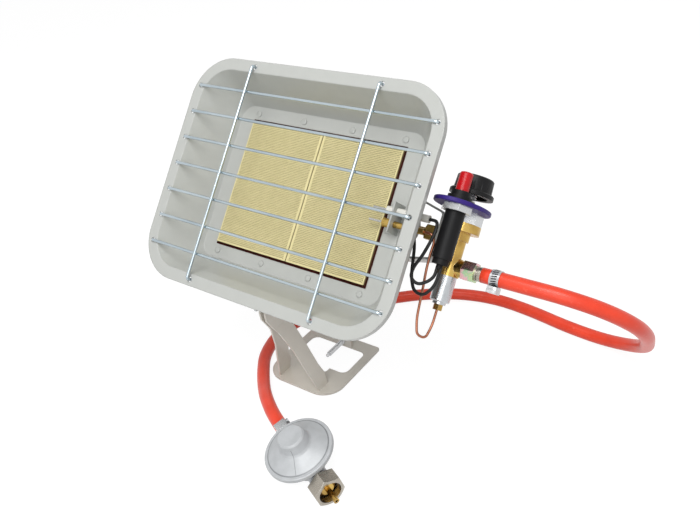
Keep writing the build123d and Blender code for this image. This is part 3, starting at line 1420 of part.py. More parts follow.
def regulator_cover():
    """Coned upper half with a crimped rim and a raised spring house."""
    with BuildPart() as cover:
        spin(
            DISC_AXIS,
            [
                (0, DISC_RIM_JOINT),
                (DISC_RIM_RADIUS, DISC_RIM_JOINT),
                (DISC_RIM_RADIUS, DISC_RIM_TOP - 0.8),
                (DISC_RIM_RADIUS - 0.8, DISC_RIM_TOP),
                (DISC_RIM_RADIUS - 3, DISC_RIM_TOP),
                (COVER_SHOULDER_RADIUS, COVER_SHOULDER),
                (CAP_BASE_RADIUS, COVER_SHOULDER + 2),
                (CAP_TOP_RADIUS, CAP_TOP - 1.5),
                (CAP_TOP_RADIUS - 1.5, CAP_TOP),
                (0, CAP_TOP),
            ],
        )
        spin(
            DISC_AXIS,
            [
                (0, DISC_RIM_JOINT),
                (DIAPHRAGM_RADIUS + TOUCH, DISC_RIM_JOINT),
                (DIAPHRAGM_RADIUS + TOUCH, DISC_RIM_JOINT + DIAPHRAGM_THICKNESS),
                (BOWL_CAVITY_RADIUS, DISC_RIM_JOINT + DIAPHRAGM_THICKNESS),
                (CAP_BASE_RADIUS - COVER_WALL, COVER_SHOULDER - COVER_WALL),
                (CAP_TOP_RADIUS - COVER_WALL, CAP_TOP - COVER_WALL),
                (0, CAP_TOP - COVER_WALL),
            ],
            Mode.SUBTRACT,
        )
    finish(cover, "regulator_cover")


def regulator_diaphragm():
    """Rubber disc clamped between the two halves."""
    with BuildPart() as diaphragm:
        rod(DISC_AXIS, DIAPHRAGM_RADIUS, DISC_RIM_JOINT, DISC_RIM_JOINT + DIAPHRAGM_THICKNESS)
    finish(diaphragm, "regulator_diaphragm")


def regulator_spring():
    """Spring that sets the outlet pressure."""
    bottom = DISC_RIM_JOINT + DIAPHRAGM_THICKNESS
    with BuildPart() as spring:
        coil(DISC_AXIS, REGULATOR_SPRING_RADIUS, bottom, CAP_TOP - COVER_WALL, REGULATOR_SPRING_TURNS)
    finish(spring, "regulator_spring")


def regulator_lever():
    """Lever under the diaphragm that throttles the inlet."""
    with BuildPart() as lever:
        with BuildSketch(DISC_AXIS.offset(LEVER_HEIGHT)):
            with Locations((LEVER_LENGTH / 2, 0)):
                Rectangle(LEVER_LENGTH, LEVER_WIDTH)
        extrude(amount=LEVER_THICKNESS)
        rod(DISC_AXIS, LEVER_WIDTH, LEVER_HEIGHT, DISC_RIM_JOINT)
    finish(lever, "regulator_lever")


def inlet_nipple():
    """Brass nipple screwed into the regulator, with a sealing cone and a filter tube."""
    with BuildPart() as nipple:
        spin(
            FLOW_AXIS,
            [
                (PASSAGE_RADIUS / 2, NIPPLE_THREAD_START),
                (NIPPLE_NECK_RADIUS, NIPPLE_THREAD_START),
                (NIPPLE_NECK_RADIUS, NIPPLE_FLANGE_START),
                (NIPPLE_FLANGE_RADIUS, NIPPLE_FLANGE_START),
                (NIPPLE_FLANGE_RADIUS, NIPPLE_FLANGE_END),
                (NIPPLE_NECK_RADIUS, NIPPLE_CONE_END),
                (NIPPLE_TUBE_RADIUS, NIPPLE_CONE_END),
                (NIPPLE_TUBE_RADIUS, NIPPLE_TIP),
                (PASSAGE_RADIUS / 2, NIPPLE_TIP),
            ],
        )
    finish(nipple, "inlet_nipple")


def union_nut():
    """Hexagonal union nut that screws on to the gas bottle's valve."""
    bore_start = UNION_START + UNION_BACK_WALL
    with BuildPart() as nut:
        hexagon(FLOW_AXIS, UNION_FLATS, UNION_START, UNION_END)
        spin(
            FLOW_AXIS,
            [
                (UNION_FLATS / 2 - 0.4, UNION_END),
                (UNION_FLATS / 2 + 3, UNION_END - 2.0),
                (UNION_FLATS / 2 + 3, UNION_END),
            ],
            Mode.SUBTRACT,
        )
        rod(FLOW_AXIS, UNION_BORE, bore_start, UNION_END, Mode.SUBTRACT)
        rod(FLOW_AXIS, NIPPLE_NECK_RADIUS + RUNNING, UNION_START, bore_start, Mode.SUBTRACT)
    finish(nut, "union_nut")


# Stand and tilt pivot

def leg_section(side):
    """Section of one leg, seen from the front: foot, leaning shank and upright ear."""
    foot_top = STAND_SHEET / 2
    with BuildSketch(Plane(origin=stand_point(0, 0, 0), x_dir=(1, 0, 0), z_dir=(0, -1, 0))) as section:
        with BuildLine():
            FilletPolyline(
                (side * LEG_FOOT_X, foot_top),
                (side * EAR_X, EAR_START),
                (side * EAR_X, EAR_TOP),
                radius=LEG_BEND,
            )
            offset(amount=STAND_SHEET, side=Side.RIGHT if side > 0 else Side.LEFT)
        make_face()
    return section.sketch


def leg(side):
    """One leg: its section run back through the stand, cut to its side outline."""
    reach = STAND_DEPTH
    with BuildPart() as shank:
        extrude(leg_section(side), amount=reach, both=True)
        with BuildSketch(Plane(origin=stand_point(0, 0, 0), x_dir=(0, 1, 0), z_dir=(1, 0, 0))) as outline:
            with BuildLine():
                Polyline(*LEG_SIDE, close=True)
            make_face()
        extrude(outline.sketch, amount=STAND_WIDTH, both=True, mode=Mode.INTERSECT)
    return shank.part


def stand_bracket():
    """Base plate with its cut-out and upturned tab, and two legs up to the pivot."""
    legs = [leg(side) for side in (-1, 1)]
    table = Plane(origin=stand_point(0, 0, 0), x_dir=(1, 0, 0), z_dir=(0, 0, 1))
    with BuildPart() as stand:
        with BuildSketch(table) as base:
            with Locations((0, STAND_DEPTH / 2)):
                Rectangle(STAND_WIDTH, STAND_DEPTH)
            fillet(base.vertices().group_by(Axis.Y)[0], STAND_FRONT_CORNER)
            fillet(base.vertices().group_by(Axis.Y)[-1], STAND_BACK_CORNER)
            with Locations(((WINDOW_LEFT + WINDOW_RIGHT) / 2, (WINDOW_FRONT + WINDOW_BACK) / 2)):
                RectangleRounded(
                    WINDOW_RIGHT - WINDOW_LEFT,
                    WINDOW_BACK - WINDOW_FRONT,
                    WINDOW_CORNER,
                    mode=Mode.SUBTRACT,
                )
            with Locations((0, WINDOW_FRONT)):
                RectangleRounded(NOTCH_WIDTH, 2 * NOTCH_DEPTH, NOTCH_DEPTH / 2, mode=Mode.SUBTRACT)
        extrude(amount=STAND_SHEET)
        add(legs)
        with BuildSketch(table.offset(STAND_SHEET)):
            with Locations((SCREW_TAB_X, WINDOW_BACK + SCREW_TAB_THICKNESS / 2)):
                Rectangle(SCREW_TAB_WIDTH, SCREW_TAB_THICKNESS)
        extrude(amount=SCREW_TAB_HEIGHT - STAND_SHEET)
        tab_end = WINDOW_BACK + SCREW_TAB_THICKNESS
        rod(CLAMP_BOLT_AXIS, CLAMP_BOLT_RADIUS + RUNNING, WINDOW_BACK, tab_end, Mode.SUBTRACT)
        rod(PIVOT_AXIS, PIVOT_RADIUS + RUNNING, -EAR_OUTER_X, EAR_OUTER_X, Mode.SUBTRACT)
    finish(stand, "stand_bracket")


def tilt_lug():
    """Lug on the burner housing that hangs between the stand's ears."""
    rear = CHAMBER_REAR + HOUSING_WALL
    pivot_up = -PIVOT_DROP
    foot_under = CHAMBER_UNDERSIDE - LUG_FOOT_SHEET
    foot_middle = (LUG_FOOT_FRONT + CHAMBER_REAR) / 2
    foot_depth = rear - LUG_FOOT_FRONT
    with BuildPart() as lug:
        block(
            level(CHAMBER_UNDERSIDE, 0, (LUG_FOOT_FRONT + rear) / 2),
            LUG_FOOT_WIDTH,
            foot_depth,
            -LUG_FOOT_SHEET,
        )
        with BuildSketch(across(-LUG_THICKNESS / 2)):
            with Locations((REFLECTOR_DEPTH, pivot_up)):
                Circle(LUG_RADIUS)
            with Locations(((LUG_FOOT_FRONT + rear) / 2, foot_under - LUG_RADIUS / 2)):
                Rectangle(foot_depth, LUG_RADIUS)
            make_hull()
        extrude(amount=LUG_THICKNESS)
        rod(PIVOT_AXIS, PIVOT_RADIUS + RUNNING, -LUG_THICKNESS, LUG_THICKNESS, Mode.SUBTRACT)
        for x in lug_screw_columns():
            rod(level(0, x, foot_middle), SCREW_RADIUS + SLIP, foot_under, CHAMBER_UNDERSIDE, Mode.SUBTRACT)
    finish(lug, "tilt_lug")


def lug_screw_columns():
    """Places of the lug's two screws, right and left of its web."""
    offset_x = LUG_THICKNESS / 2 + SCREW_HEAD_RADIUS + 1.5
    return [-offset_x, offset_x]


def lug_screws():
    """Two screws up through the lug's foot into the burner housing."""
    seat = CHAMBER_UNDERSIDE - LUG_FOOT_SHEET
    foot_middle = (LUG_FOOT_FRONT + CHAMBER_REAR) / 2
    with BuildPart() as screws:
        for x in lug_screw_columns():
            pan_screw(level(0, x, foot_middle), seat, seat + SCREW_LENGTH)
    finish(screws, "tilt_lug_screws")


def pivot_bolt():
    """Domed bolt through both ears and the lug."""
    tail = -(EAR_OUTER_X + WASHER_THICKNESS + WING_HUB + PIVOT_TAIL / 6)
    head_end = EAR_OUTER_X + PIVOT_HEAD
    with BuildPart() as bolt:
        rod(PIVOT_AXIS, PIVOT_RADIUS, tail, EAR_OUTER_X)
        spin(
            PIVOT_AXIS,
            [
                (0, EAR_OUTER_X),
                (PIVOT_HEAD_RADIUS, EAR_OUTER_X),
                (PIVOT_HEAD_RADIUS - 0.5, EAR_OUTER_X + PIVOT_HEAD / 3),
                (PIVOT_HEAD_RADIUS / 2, head_end),
                (0, head_end),
            ],
        )
    finish(bolt, "pivot_bolt")


def pivot_washer():
    """Washer between the left ear and the wing nut."""
    with BuildPart() as washer:
        ring(PIVOT_AXIS, PIVOT_RADIUS + SLIP, WASHER_RADIUS, -EAR_OUTER_X - WASHER_THICKNESS, -EAR_OUTER_X)
    finish(washer, "pivot_washer")


def wing_nut():
    """Wing nut that holds the tilt."""
    near = -EAR_OUTER_X - WASHER_THICKNESS
    far = near - WING_HUB
    with BuildPart() as nut:
        rod(PIVOT_AXIS, WING_HUB_RADIUS, far, near)
        wings = wing_face(near, far)
        extrude(wings, amount=WING_THICKNESS / 2, both=True)
        rod(PIVOT_AXIS, PIVOT_RADIUS + RUNNING, far, near, Mode.SUBTRACT)
    finish(nut, "pivot_wing_nut")


def wing_face(near, far):
    """Outline of the two wings, in the plane that holds the bolt's axis."""
    reach = WING_SPAN / 2
    tip = near - WING_HEIGHT
    with BuildSketch(profile_plane(PIVOT_AXIS)) as face:
        with BuildLine():
            Polyline(
                (-WING_HUB_RADIUS, near - 1),
                (WING_HUB_RADIUS, near - 1),
                (reach, tip + 3),
                (reach, tip),
                (reach - 5, tip),
                (WING_HUB_RADIUS - 1, far),
                (1 - WING_HUB_RADIUS, far),
                (5 - reach, tip),
                (-reach, tip),
                (-reach, tip + 3),
                close=True,
            )
        make_face()
        fillet(face.vertices().group_by(Axis.X)[0] + face.vertices().group_by(Axis.X)[-1], 1.4)
    return face.sketch


def clamp_bolt():
    """Clamp screw with a plain tip and a knurled head."""
    tip_end = CLAMP_BOLT_TIP + CLAMP_BOLT_TIP_LENGTH
    head_end = CLAMP_BOLT_HEAD_START + CLAMP_BOLT_HEAD_LENGTH
    with BuildPart() as bolt:
        spin(
            CLAMP_BOLT_AXIS,
            [
                (0, CLAMP_BOLT_TIP),
                (CLAMP_BOLT_TIP_RADIUS, CLAMP_BOLT_TIP),
                (CLAMP_BOLT_TIP_RADIUS, tip_end - 1),
                (CLAMP_BOLT_RADIUS, tip_end),
                (CLAMP_BOLT_RADIUS, CLAMP_BOLT_HEAD_START),
                (CLAMP_BOLT_HEAD_RADIUS - 0.8, CLAMP_BOLT_HEAD_START),
                (CLAMP_BOLT_HEAD_RADIUS, CLAMP_BOLT_HEAD_START + 0.8),
                (CLAMP_BOLT_HEAD_RADIUS, head_end - 0.8),
                (CLAMP_BOLT_HEAD_RADIUS - 0.8, head_end),
                (0, head_end),
            ],
        )
        with BuildSketch(CLAMP_BOLT_AXIS.offset(CLAMP_BOLT_HEAD_START)):
            with PolarLocations(CLAMP_BOLT_HEAD_RADIUS + 0.3, CLAMP_BOLT_KNURLS):
                Circle(0.7)
        extrude(amount=CLAMP_BOLT_HEAD_LENGTH, mode=Mode.SUBTRACT)
    finish(bolt, "clamp_screw")


def clamp_nut():
    """Nut welded behind the tab, where the clamp screw runs."""
    start = WINDOW_BACK + SCREW_TAB_THICKNESS
    end = start + CLAMP_NUT_HEIGHT
    with BuildPart() as nut:
        hexagon(CLAMP_BOLT_AXIS, CLAMP_NUT_FLATS, start, end)
        rod(CLAMP_BOLT_AXIS, CLAMP_BOLT_RADIUS + RUNNING, start, end, Mode.SUBTRACT)
    finish(nut, "clamp_screw_nut")


reflector()
horizontal_wires()
vertical_wires()
plaque("ceramic_plaque_left", -1)
plaque("ceramic_plaque_right", 1)
plaque_seal()
burner_housing()
burner_rivets()
mixing_tube()
gas_jet()
jet_holder()
valve_strap()
strap_screws()
valve_body()
valve_plug()
valve_spindle()
collar_nut()
top_nut()
dial_plate()
control_knob()
knob_spring()
safety_disc()
safety_spring()
safety_magnet()
magnet_cap()
capillary_end_nut()
piezo_body()
piezo_ring_nut()
piezo_button()
piezo_spring()
sensor_bracket()
thermocouple()
thermocouple_nut()
capillary()
ignition_electrode()
electrode_insulator()
ignition_lead()
earth_lead()
coupling_nut()
hose_barb()
hose()
hose_clamp("hose_clamp_valve_end", VALVE_CLAMP_AXIS, HOSE_START + CLAMP_INSET)
worm_screw("clamp_worm_valve_end", VALVE_CLAMP_AXIS, HOSE_START + CLAMP_INSET)
hose_clamp("hose_clamp_regulator_end", REGULATOR_CLAMP_AXIS, OUTLET_END - CLAMP_INSET)
worm_screw("clamp_worm_regulator_end", REGULATOR_CLAMP_AXIS, OUTLET_END - CLAMP_INSET)
regulator_body()
regulator_cover()
regulator_diaphragm()
regulator_spring()
regulator_lever()
inlet_nipple()
union_nut()
stand_bracket()
tilt_lug()
lug_screws()
pivot_bolt()
pivot_washer()
wing_nut()
clamp_bolt()
clamp_nut()
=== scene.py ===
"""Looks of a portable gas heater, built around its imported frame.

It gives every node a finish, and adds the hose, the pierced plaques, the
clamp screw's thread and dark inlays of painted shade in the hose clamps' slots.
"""

from __future__ import annotations

import json
import logging
import math
from dataclasses import dataclass
from enum import Enum
from typing import Any, Sequence

import bmesh
import bpy
from mathutils import Matrix, Vector

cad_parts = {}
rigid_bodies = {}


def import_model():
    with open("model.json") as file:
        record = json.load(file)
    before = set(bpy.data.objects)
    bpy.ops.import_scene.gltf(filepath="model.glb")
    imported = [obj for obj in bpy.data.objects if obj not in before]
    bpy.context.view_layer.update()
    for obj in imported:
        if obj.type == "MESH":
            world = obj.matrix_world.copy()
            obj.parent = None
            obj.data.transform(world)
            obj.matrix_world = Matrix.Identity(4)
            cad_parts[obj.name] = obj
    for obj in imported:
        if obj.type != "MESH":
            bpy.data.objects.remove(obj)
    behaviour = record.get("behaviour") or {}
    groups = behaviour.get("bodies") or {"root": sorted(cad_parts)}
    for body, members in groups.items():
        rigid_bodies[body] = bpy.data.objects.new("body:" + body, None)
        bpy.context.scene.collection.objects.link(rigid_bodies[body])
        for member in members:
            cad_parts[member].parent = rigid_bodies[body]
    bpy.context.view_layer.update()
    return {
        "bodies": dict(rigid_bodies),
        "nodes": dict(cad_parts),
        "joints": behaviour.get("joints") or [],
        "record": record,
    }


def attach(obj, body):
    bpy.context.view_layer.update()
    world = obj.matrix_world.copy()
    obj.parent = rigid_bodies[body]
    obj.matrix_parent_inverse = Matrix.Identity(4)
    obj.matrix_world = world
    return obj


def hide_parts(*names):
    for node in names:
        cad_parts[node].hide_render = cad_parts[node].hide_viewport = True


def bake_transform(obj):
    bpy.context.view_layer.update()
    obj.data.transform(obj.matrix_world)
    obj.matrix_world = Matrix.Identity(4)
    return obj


LOG = logging.getLogger("gas_heater")

Colour = tuple[float, float, float]
Point = tuple[float, float, float]
Socket = bpy.types.NodeSocket
Node = bpy.types.Node

WHITE = (1.0, 1.0, 1.0, 1.0)
BLACK = (0.0, 0.0, 0.0, 1.0)


class Body(Enum):
    """Moving bodies of the heater that pieces ride on."""

    STAND = "stand"
    HEAD = "head"
    CLAMP_SCREW = "clamp_screw"


@dataclass(frozen=True)
class Placing:
    """A local frame in the row: origin and three axes, in metres."""

    origin: Vector
    right: Vector
    up: Vector
    out: Vector

    def point(self, x: float, y: float, z: float = 0.0) -> Vector:
        """Row point at x along right, y along up and z along out."""
        return self.origin + self.right * x + self.up * y + self.out * z

    def matrix(self) -> Matrix:
        """Matrix that takes local coordinates to the row."""
        turn = Matrix((self.right, self.up, self.out)).transposed().to_4x4()
        return Matrix.Translation(self.origin) @ turn


TILT = math.radians(39.2)
HEAD_UP = Vector((0.0, math.sin(TILT), math.cos(TILT)))
HEAD_FRONT = Vector((0.0, -math.cos(TILT), math.sin(TILT)))
RIGHT = Vector((1.0, 0.0, 0.0))
HEAD = Placing(Vector((-0.030, -0.0147447, 0.2312230)), RIGHT, HEAD_UP, HEAD_FRONT)
BACK = Vector((0.0, 1.0, 0.0))
SKY = Vector((0.0, 0.0, 1.0))
STAND = Placing(Vector((-0.030, -0.03694, 0.0)), RIGHT, BACK, SKY)
FLOW_TURN = math.radians(-24.8)
DISC_ROLL = math.radians(16.6)
FLOW = Vector((math.cos(FLOW_TURN), math.sin(FLOW_TURN), 0.0))
FLOW_SIDE = Vector((-math.sin(FLOW_TURN), math.cos(FLOW_TURN), 0.0))
DISC_UP = Vector((0.0, 0.0, math.cos(DISC_ROLL))) - FLOW_SIDE * math.sin(DISC_ROLL)
NUT_AXIS = (0.908, -0.419, 0.0)
VALVE_BARB = (0.190, -0.0265, -0.070)
REGULATOR = Placing(STAND.point(0.0834, -0.0901, 0.0178), DISC_UP.cross(FLOW), DISC_UP, FLOW)


class Graph:
    """Adds and joins the nodes of one node tree."""

    def __init__(self, tree: bpy.types.NodeTree) -> None:
        """Keep the tree that nodes are added to."""
        self.tree = tree

    def add(self, kind: str, inputs: dict[Any, Any] | None = None, **settings: Any) -> Node:
        """Add one node.

        Args:
            kind: the node's type name.
            inputs: value or output socket for each input, by name or index.
            settings: properties of the node itself.

        Returns:
            The new node.
        """
        node = self.tree.nodes.new(kind)
        for name, value in settings.items():
            setattr(node, name, value)
        for key, value in (inputs or {}).items():
            if isinstance(value, Socket):
                self.tree.links.new(value, node.inputs[key])
            else:
                node.inputs[key].default_value = value
        return node

    def math(self, operation: str, first: Any, second: Any = 0.0, third: Any = 0.0) -> Socket:
        """Output of one math node on up to three values or sockets."""
        values = {0: first, 1: second, 2: third}
        return self.add("ShaderNodeMath", values, operation=operation).outputs[0]

    def vector(self, operation: str, first: Any, second: Any = (0.0, 0.0, 0.0)) -> Node:
        """Vector math node on two vectors or sockets."""
        return self.add("ShaderNodeVectorMath", {0: first, 1: second}, operation=operation)

    def along(self, place: Any, axis: Sequence[float]) -> Socket:
        """Distance of a place along an axis."""
        return self.vector("DOT_PRODUCT", place, tuple(axis)).outputs["Value"]

    def rise(self, value: Any, start: float, end: float, top: float = 1.0) -> Socket:
        """Share that goes from 0 at the start to the top at the end."""
        limits = {"Value": value, "From Min": start, "From Max": end, "To Min": 0.0, "To Max": top}
        return self.add("ShaderNodeMapRange", limits).outputs["Result"]

    def surface_place(self) -> Socket:
        """Object coordinates of the surface."""
        return self.add("ShaderNodeTexCoord").outputs["Object"]

    def split(self, place: Any) -> Any:
        """The X, Y and Z outputs of a vector."""
        return self.add("ShaderNodeSeparateXYZ", {0: place}).outputs

    def mix(self, share: Any, first: Any, second: Any, blend: str = "MIX") -> Socket:
        """Colour between two colours or colour sockets."""
        node = self.add("ShaderNodeMix", data_type="RGBA", blend_type=blend)
        for index, value in ((0, share), (6, first), (7, second)):
            if isinstance(value, Socket):
                self.tree.links.new(value, node.inputs[index])
            else:
                node.inputs[index].default_value = value
        return node.outputs[2]


def rgba(colour: Colour) -> tuple[float, float, float, float]:
    """Colour with full alpha."""
    return (colour[0], colour[1], colour[2], 1.0)


class SharedEffects:
    """Node groups that several finishes use."""

    edge_likeness = (0.995, 0.85)
    broad_share = 0.06
    speck_reach = (0.25, 0.1)

    def __init__(self) -> None:
        """Build each group once."""
        self.edges = self._edge_group()
        self.grain = self._grain_group()

    def _edge_group(self) -> bpy.types.NodeTree:
        """Rounded edges: a softened normal and a mask that is 1 on sharp edges.

        Returns:
            The node group.
        """
        tree = bpy.data.node_groups.new("rounded_edges", "ShaderNodeTree")
        tree.interface.new_socket("Radius", in_out="INPUT", socket_type="NodeSocketFloat")
        tree.interface.new_socket("Normal", in_out="OUTPUT", socket_type="NodeSocketVector")
        tree.interface.new_socket("Edge", in_out="OUTPUT", socket_type="NodeSocketFloat")
        graph = Graph(tree)
        entry = graph.add("NodeGroupInput")
        bevel = graph.add("ShaderNodeBevel", {"Radius": entry.outputs["Radius"]}, samples=4)
        geometry = graph.add("ShaderNodeNewGeometry")
        likeness = graph.vector("DOT_PRODUCT", bevel.outputs["Normal"], geometry.outputs["Normal"])
        edge = graph.rise(likeness.outputs["Value"], *self.edge_likeness)
        graph.add("NodeGroupOutput", {"Normal": bevel.outputs["Normal"], "Edge": edge})
        return tree

    def _grain_group(self) -> bpy.types.NodeTree:
        """Fine and broad variation in object coordinates.

        Returns:
            The node group.
        """
        tree = bpy.data.node_groups.new("surface_grain", "ShaderNodeTree")
        tree.interface.new_socket("Vector", in_out="INPUT", socket_type="NodeSocketVector")
        tree.interface.new_socket("Scale", in_out="INPUT", socket_type="NodeSocketFloat")
        for name in ("Fine", "Broad", "Speck"):
            tree.interface.new_socket(name, in_out="OUTPUT", socket_type="NodeSocketFloat")
        graph = Graph(tree)
        entry = graph.add("NodeGroupInput")
        place = entry.outputs["Vector"]
        scale = entry.outputs["Scale"]
        fine = graph.add(
            "ShaderNodeTexNoise",
            {"Vector": place, "Scale": scale, "Detail": 3.0, "Roughness": 0.6},
        )
        slow = graph.math("MULTIPLY", scale, self.broad_share)
        broad = graph.add("ShaderNodeTexNoise", {"Vector": place, "Scale": slow, "Detail": 4.0})
        cells = graph.add("ShaderNodeTexVoronoi", {"Vector": place, "Scale": scale})
        speck = graph.rise(cells.outputs["Distance"], *self.speck_reach)
        masks = {"Fine": fine.outputs[0], "Broad": broad.outputs[0], "Speck": speck}
        graph.add("NodeGroupOutput", masks)
        return tree


@dataclass(frozen=True)
class Finish:
    """One procedural finish: base colour, grain, mottling, soft edges, painted edge highlight."""

    name: str
    colour: Colour
    shade: Colour
    roughness: float
    metallic: float = 0.0
    grain_per_metre: float = 900.0
    grain_depth: float = 0.00004
    mottling: float = 0.5
    mottling_band: tuple[float, float] = (0.35, 0.68)
    roughness_swing: float = 0.08
    edge_radius: float = 0.0005
    # Strength of the painted highlight screened onto sharp edges.
    edge_highlight_gain: float = 0.15
    coat: float = 0.0
    gloss: float = 0.5
    speck: float = 0.0
    coat_roughness: float = 0.12
    stretch: Point = (1.0, 1.0, 1.0)

    def place(self, graph: Graph) -> Socket:
        """Object coordinates, stretched along the finish's own grain."""
        values = {"Vector": graph.surface_place(), "Scale": self.stretch}
        return graph.add("ShaderNodeMapping", values).outputs["Vector"]

    def tint(self, graph: Graph, grain: Node, place: Socket) -> Socket:
        """Base colour over the surface.

        Args:
            graph: the material's graph.
            grain: the grain group's node.
            place: the texture coordinates, not used by this plain tint.

        Returns:
            The colour socket.
        """
        share = graph.rise(grain.outputs["Broad"], *self.mottling_band, self.mottling)
        return graph.mix(share, rgba(self.colour), rgba(self.shade))

    def relief(self, graph: Graph, grain: Node, place: Socket) -> Socket:
        """Height of the surface's own relief, from 0 to 1."""
        return grain.outputs["Fine"]

    def build(self, effects: SharedEffects) -> bpy.types.Material:
        """Make the material.

        Args:
            effects: the shared node groups.

        Returns:
            The finished material.
        """
        material = bpy.data.materials.new(self.name)
        material.use_nodes = True
        tree = material.node_tree
        tree.nodes.clear()
        graph = Graph(tree)
        place = self.place(graph)
        grain = graph.add("ShaderNodeGroup", node_tree=effects.grain)
        tree.links.new(place, grain.inputs["Vector"])
        grain.inputs["Scale"].default_value = self.grain_per_metre
        edges = graph.add("ShaderNodeGroup", node_tree=effects.edges)
        edges.inputs["Radius"].default_value = self.edge_radius
        colour = self.tint(graph, grain, place)
        # Painted highlight: sharp edges are screened toward white.
        gain = graph.math("MULTIPLY", edges.outputs["Edge"], self.edge_highlight_gain)
        colour = graph.mix(gain, colour, WHITE, "SCREEN")
        if self.speck > 0:
            fleck = graph.math("MULTIPLY", grain.outputs["Speck"], self.speck)
            colour = graph.mix(fleck, colour, rgba(self.shade))
        spread = 2 * self.roughness_swing
        least = self.roughness - self.roughness_swing
        rough = graph.math("MULTIPLY_ADD", grain.outputs["Fine"], spread, least)
        bump = graph.add(
            "ShaderNodeBump",
            {
                "Height": self.relief(graph, grain, place),
                "Distance": self.grain_depth,
                "Strength": 1.0,
                "Normal": edges.outputs["Normal"],
            },
        )
        shader = graph.add(
            "ShaderNodeBsdfPrincipled",
            {
                "Base Color": colour,
                "Roughness": rough,
                "Metallic": self.metallic,
                "Normal": bump.outputs["Normal"],
            },
        )
        shader.inputs["Specular IOR Level"].default_value = self.gloss
        shader.inputs["Coat Weight"].default_value = self.coat
        shader.inputs["Coat Roughness"].default_value = self.coat_roughness
        graph.add("ShaderNodeOutputMaterial", {"Surface": shader.outputs["BSDF"]})
        return material


@dataclass(frozen=True)
class PiercedCeramic(Finish):
    """Cream ceramic with painted shade that darkens it down its burner holes."""

    face: float = -0.0410
    hole_shade_colour: Colour = (0.16, 0.10, 0.045)
    hole_shade_depths: tuple[float, float] = (0.00015, 0.0011)

    def tint(self, graph: Graph, grain: Node, place: Socket) -> Socket:
        """Cream on the face, darkened by painted shade inside the holes."""
        base = Finish.tint(self, graph, grain, place)
        # Painted shade: darker the deeper down each hole.
        depth = graph.along(graph.surface_place(), HEAD_FRONT)
        level = HEAD.origin.dot(HEAD_FRONT) + self.face
        start, end = self.hole_shade_depths
        share = graph.rise(depth, level - start, level - end)
        return graph.mix(share, base, rgba(self.hole_shade_colour))


@dataclass(frozen=True)
class IridescentZinc(Finish):
    """Zinc plating whose tint drifts from its colour over green to its shade and gold."""

    green: Colour = (0.40, 0.62, 0.38)
    gold: Colour = (0.72, 0.50, 0.28)
    positions: tuple[float, ...] = (0.30, 0.43, 0.56, 0.72)

    def tint(self, graph: Graph, grain: Node, place: Socket) -> Socket:
        """Colour bands of the thin plating."""
        ramp = graph.add("ShaderNodeValToRGB", {"Fac": grain.outputs["Broad"]})
        bands = list(zip(self.positions, (self.colour, self.green, self.shade, self.gold)))
        stops = ramp.color_ramp.elements
        for stop, (position, colour) in zip(stops, (bands[0], bands[-1])):
            stop.position = position
            stop.color = rgba(colour)
        for position, colour in bands[1:-1]:
            stops.new(position).color = rgba(colour)
        return ramp.outputs["Color"]


@dataclass(frozen=True)
class TurnedMetal(Finish):
    """Metal with fine lathe rings round one of the heater's axes."""

    axis: Point = (1.0, 0.0, 0.0)
    rings_per_metre: float = 2600.0
    ring_share: float = 0.3
    grain_share: float = 0.4

    def relief(self, graph: Graph, grain: Node, place: Socket) -> Socket:
        """Rings along the axis with a little grain on them."""
        distance = graph.along(place, self.axis)
        phase = graph.math("MULTIPLY", distance, self.rings_per_metre * math.pi)
        ring = graph.math("MULTIPLY_ADD", graph.math("SINE", phase), self.ring_share, 0.5)
        return graph.math("MULTIPLY_ADD", grain.outputs["Fine"], self.grain_share, ring)


@dataclass(frozen=True)
class MouldedRubber(Finish):
    """Rubber hose cover with paler scuffs."""

    scuff_scale: float = 160.0
    scuff_band: tuple[float, float] = (0.62, 0.8)
    scuff_share: float = 0.25
    scuff_colour: Colour = (0.95, 0.45, 0.33)

    def tint(self, graph: Graph, grain: Node, place: Socket) -> Socket:
        """Base colour with paler scuffs."""
        base = Finish.tint(self, graph, grain, place)
        scuff = graph.add(
            "ShaderNodeTexNoise",
            {"Vector": place, "Scale": self.scuff_scale, "Detail": 5.0, "Roughness": 0.7},
        )
        share = graph.rise(scuff.outputs[0], *self.scuff_band, self.scuff_share)
        return graph.mix(share, base, rgba(self.scuff_colour))


@dataclass(frozen=True)
class SeamedLacquer(Finish):
    """Lacquered casting with a crimped seam round its disc and one mould line."""

    seam_radius: float = 0.0298
    seam_width: float = 0.0006
    seam_shade: float = 0.55
    seam_colour: Colour = (0.06, 0.065, 0.07)
    line_turn: float = -0.571
    line_start: float = 0.0135

    def seam(self, graph: Graph) -> Socket:
        """Mask that is 1 in the seam and on the mould line."""
        reach = graph.vector("SUBTRACT", graph.surface_place(), tuple(REGULATOR.origin)).outputs[0]
        flat = graph.vector("CROSS_PRODUCT", reach, tuple(DISC_UP)).outputs[0]
        radius = graph.vector("LENGTH", flat).outputs["Value"]
        ring = graph.math("COMPARE", radius, self.seam_radius, self.seam_width)
        outward = FLOW * math.cos(self.line_turn) + REGULATOR.right * math.sin(self.line_turn)
        sideways = REGULATOR.right * math.cos(self.line_turn) - FLOW * math.sin(self.line_turn)
        line = graph.math("COMPARE", graph.along(reach, sideways), 0.0, self.seam_width / 2)
        middle = (self.line_start + self.seam_radius) / 2
        half = self.seam_radius - middle
        reached = graph.math("COMPARE", graph.along(reach, outward), middle, half)
        return graph.math("MAXIMUM", ring, graph.math("MULTIPLY", line, reached))

    def tint(self, graph: Graph, grain: Node, place: Socket) -> Socket:
        """Lacquer colour, darker in the seam."""
        base = Finish.tint(self, graph, grain, place)
        share = graph.math("MULTIPLY", self.seam(graph), self.seam_shade)
        return graph.mix(share, base, rgba(self.seam_colour))


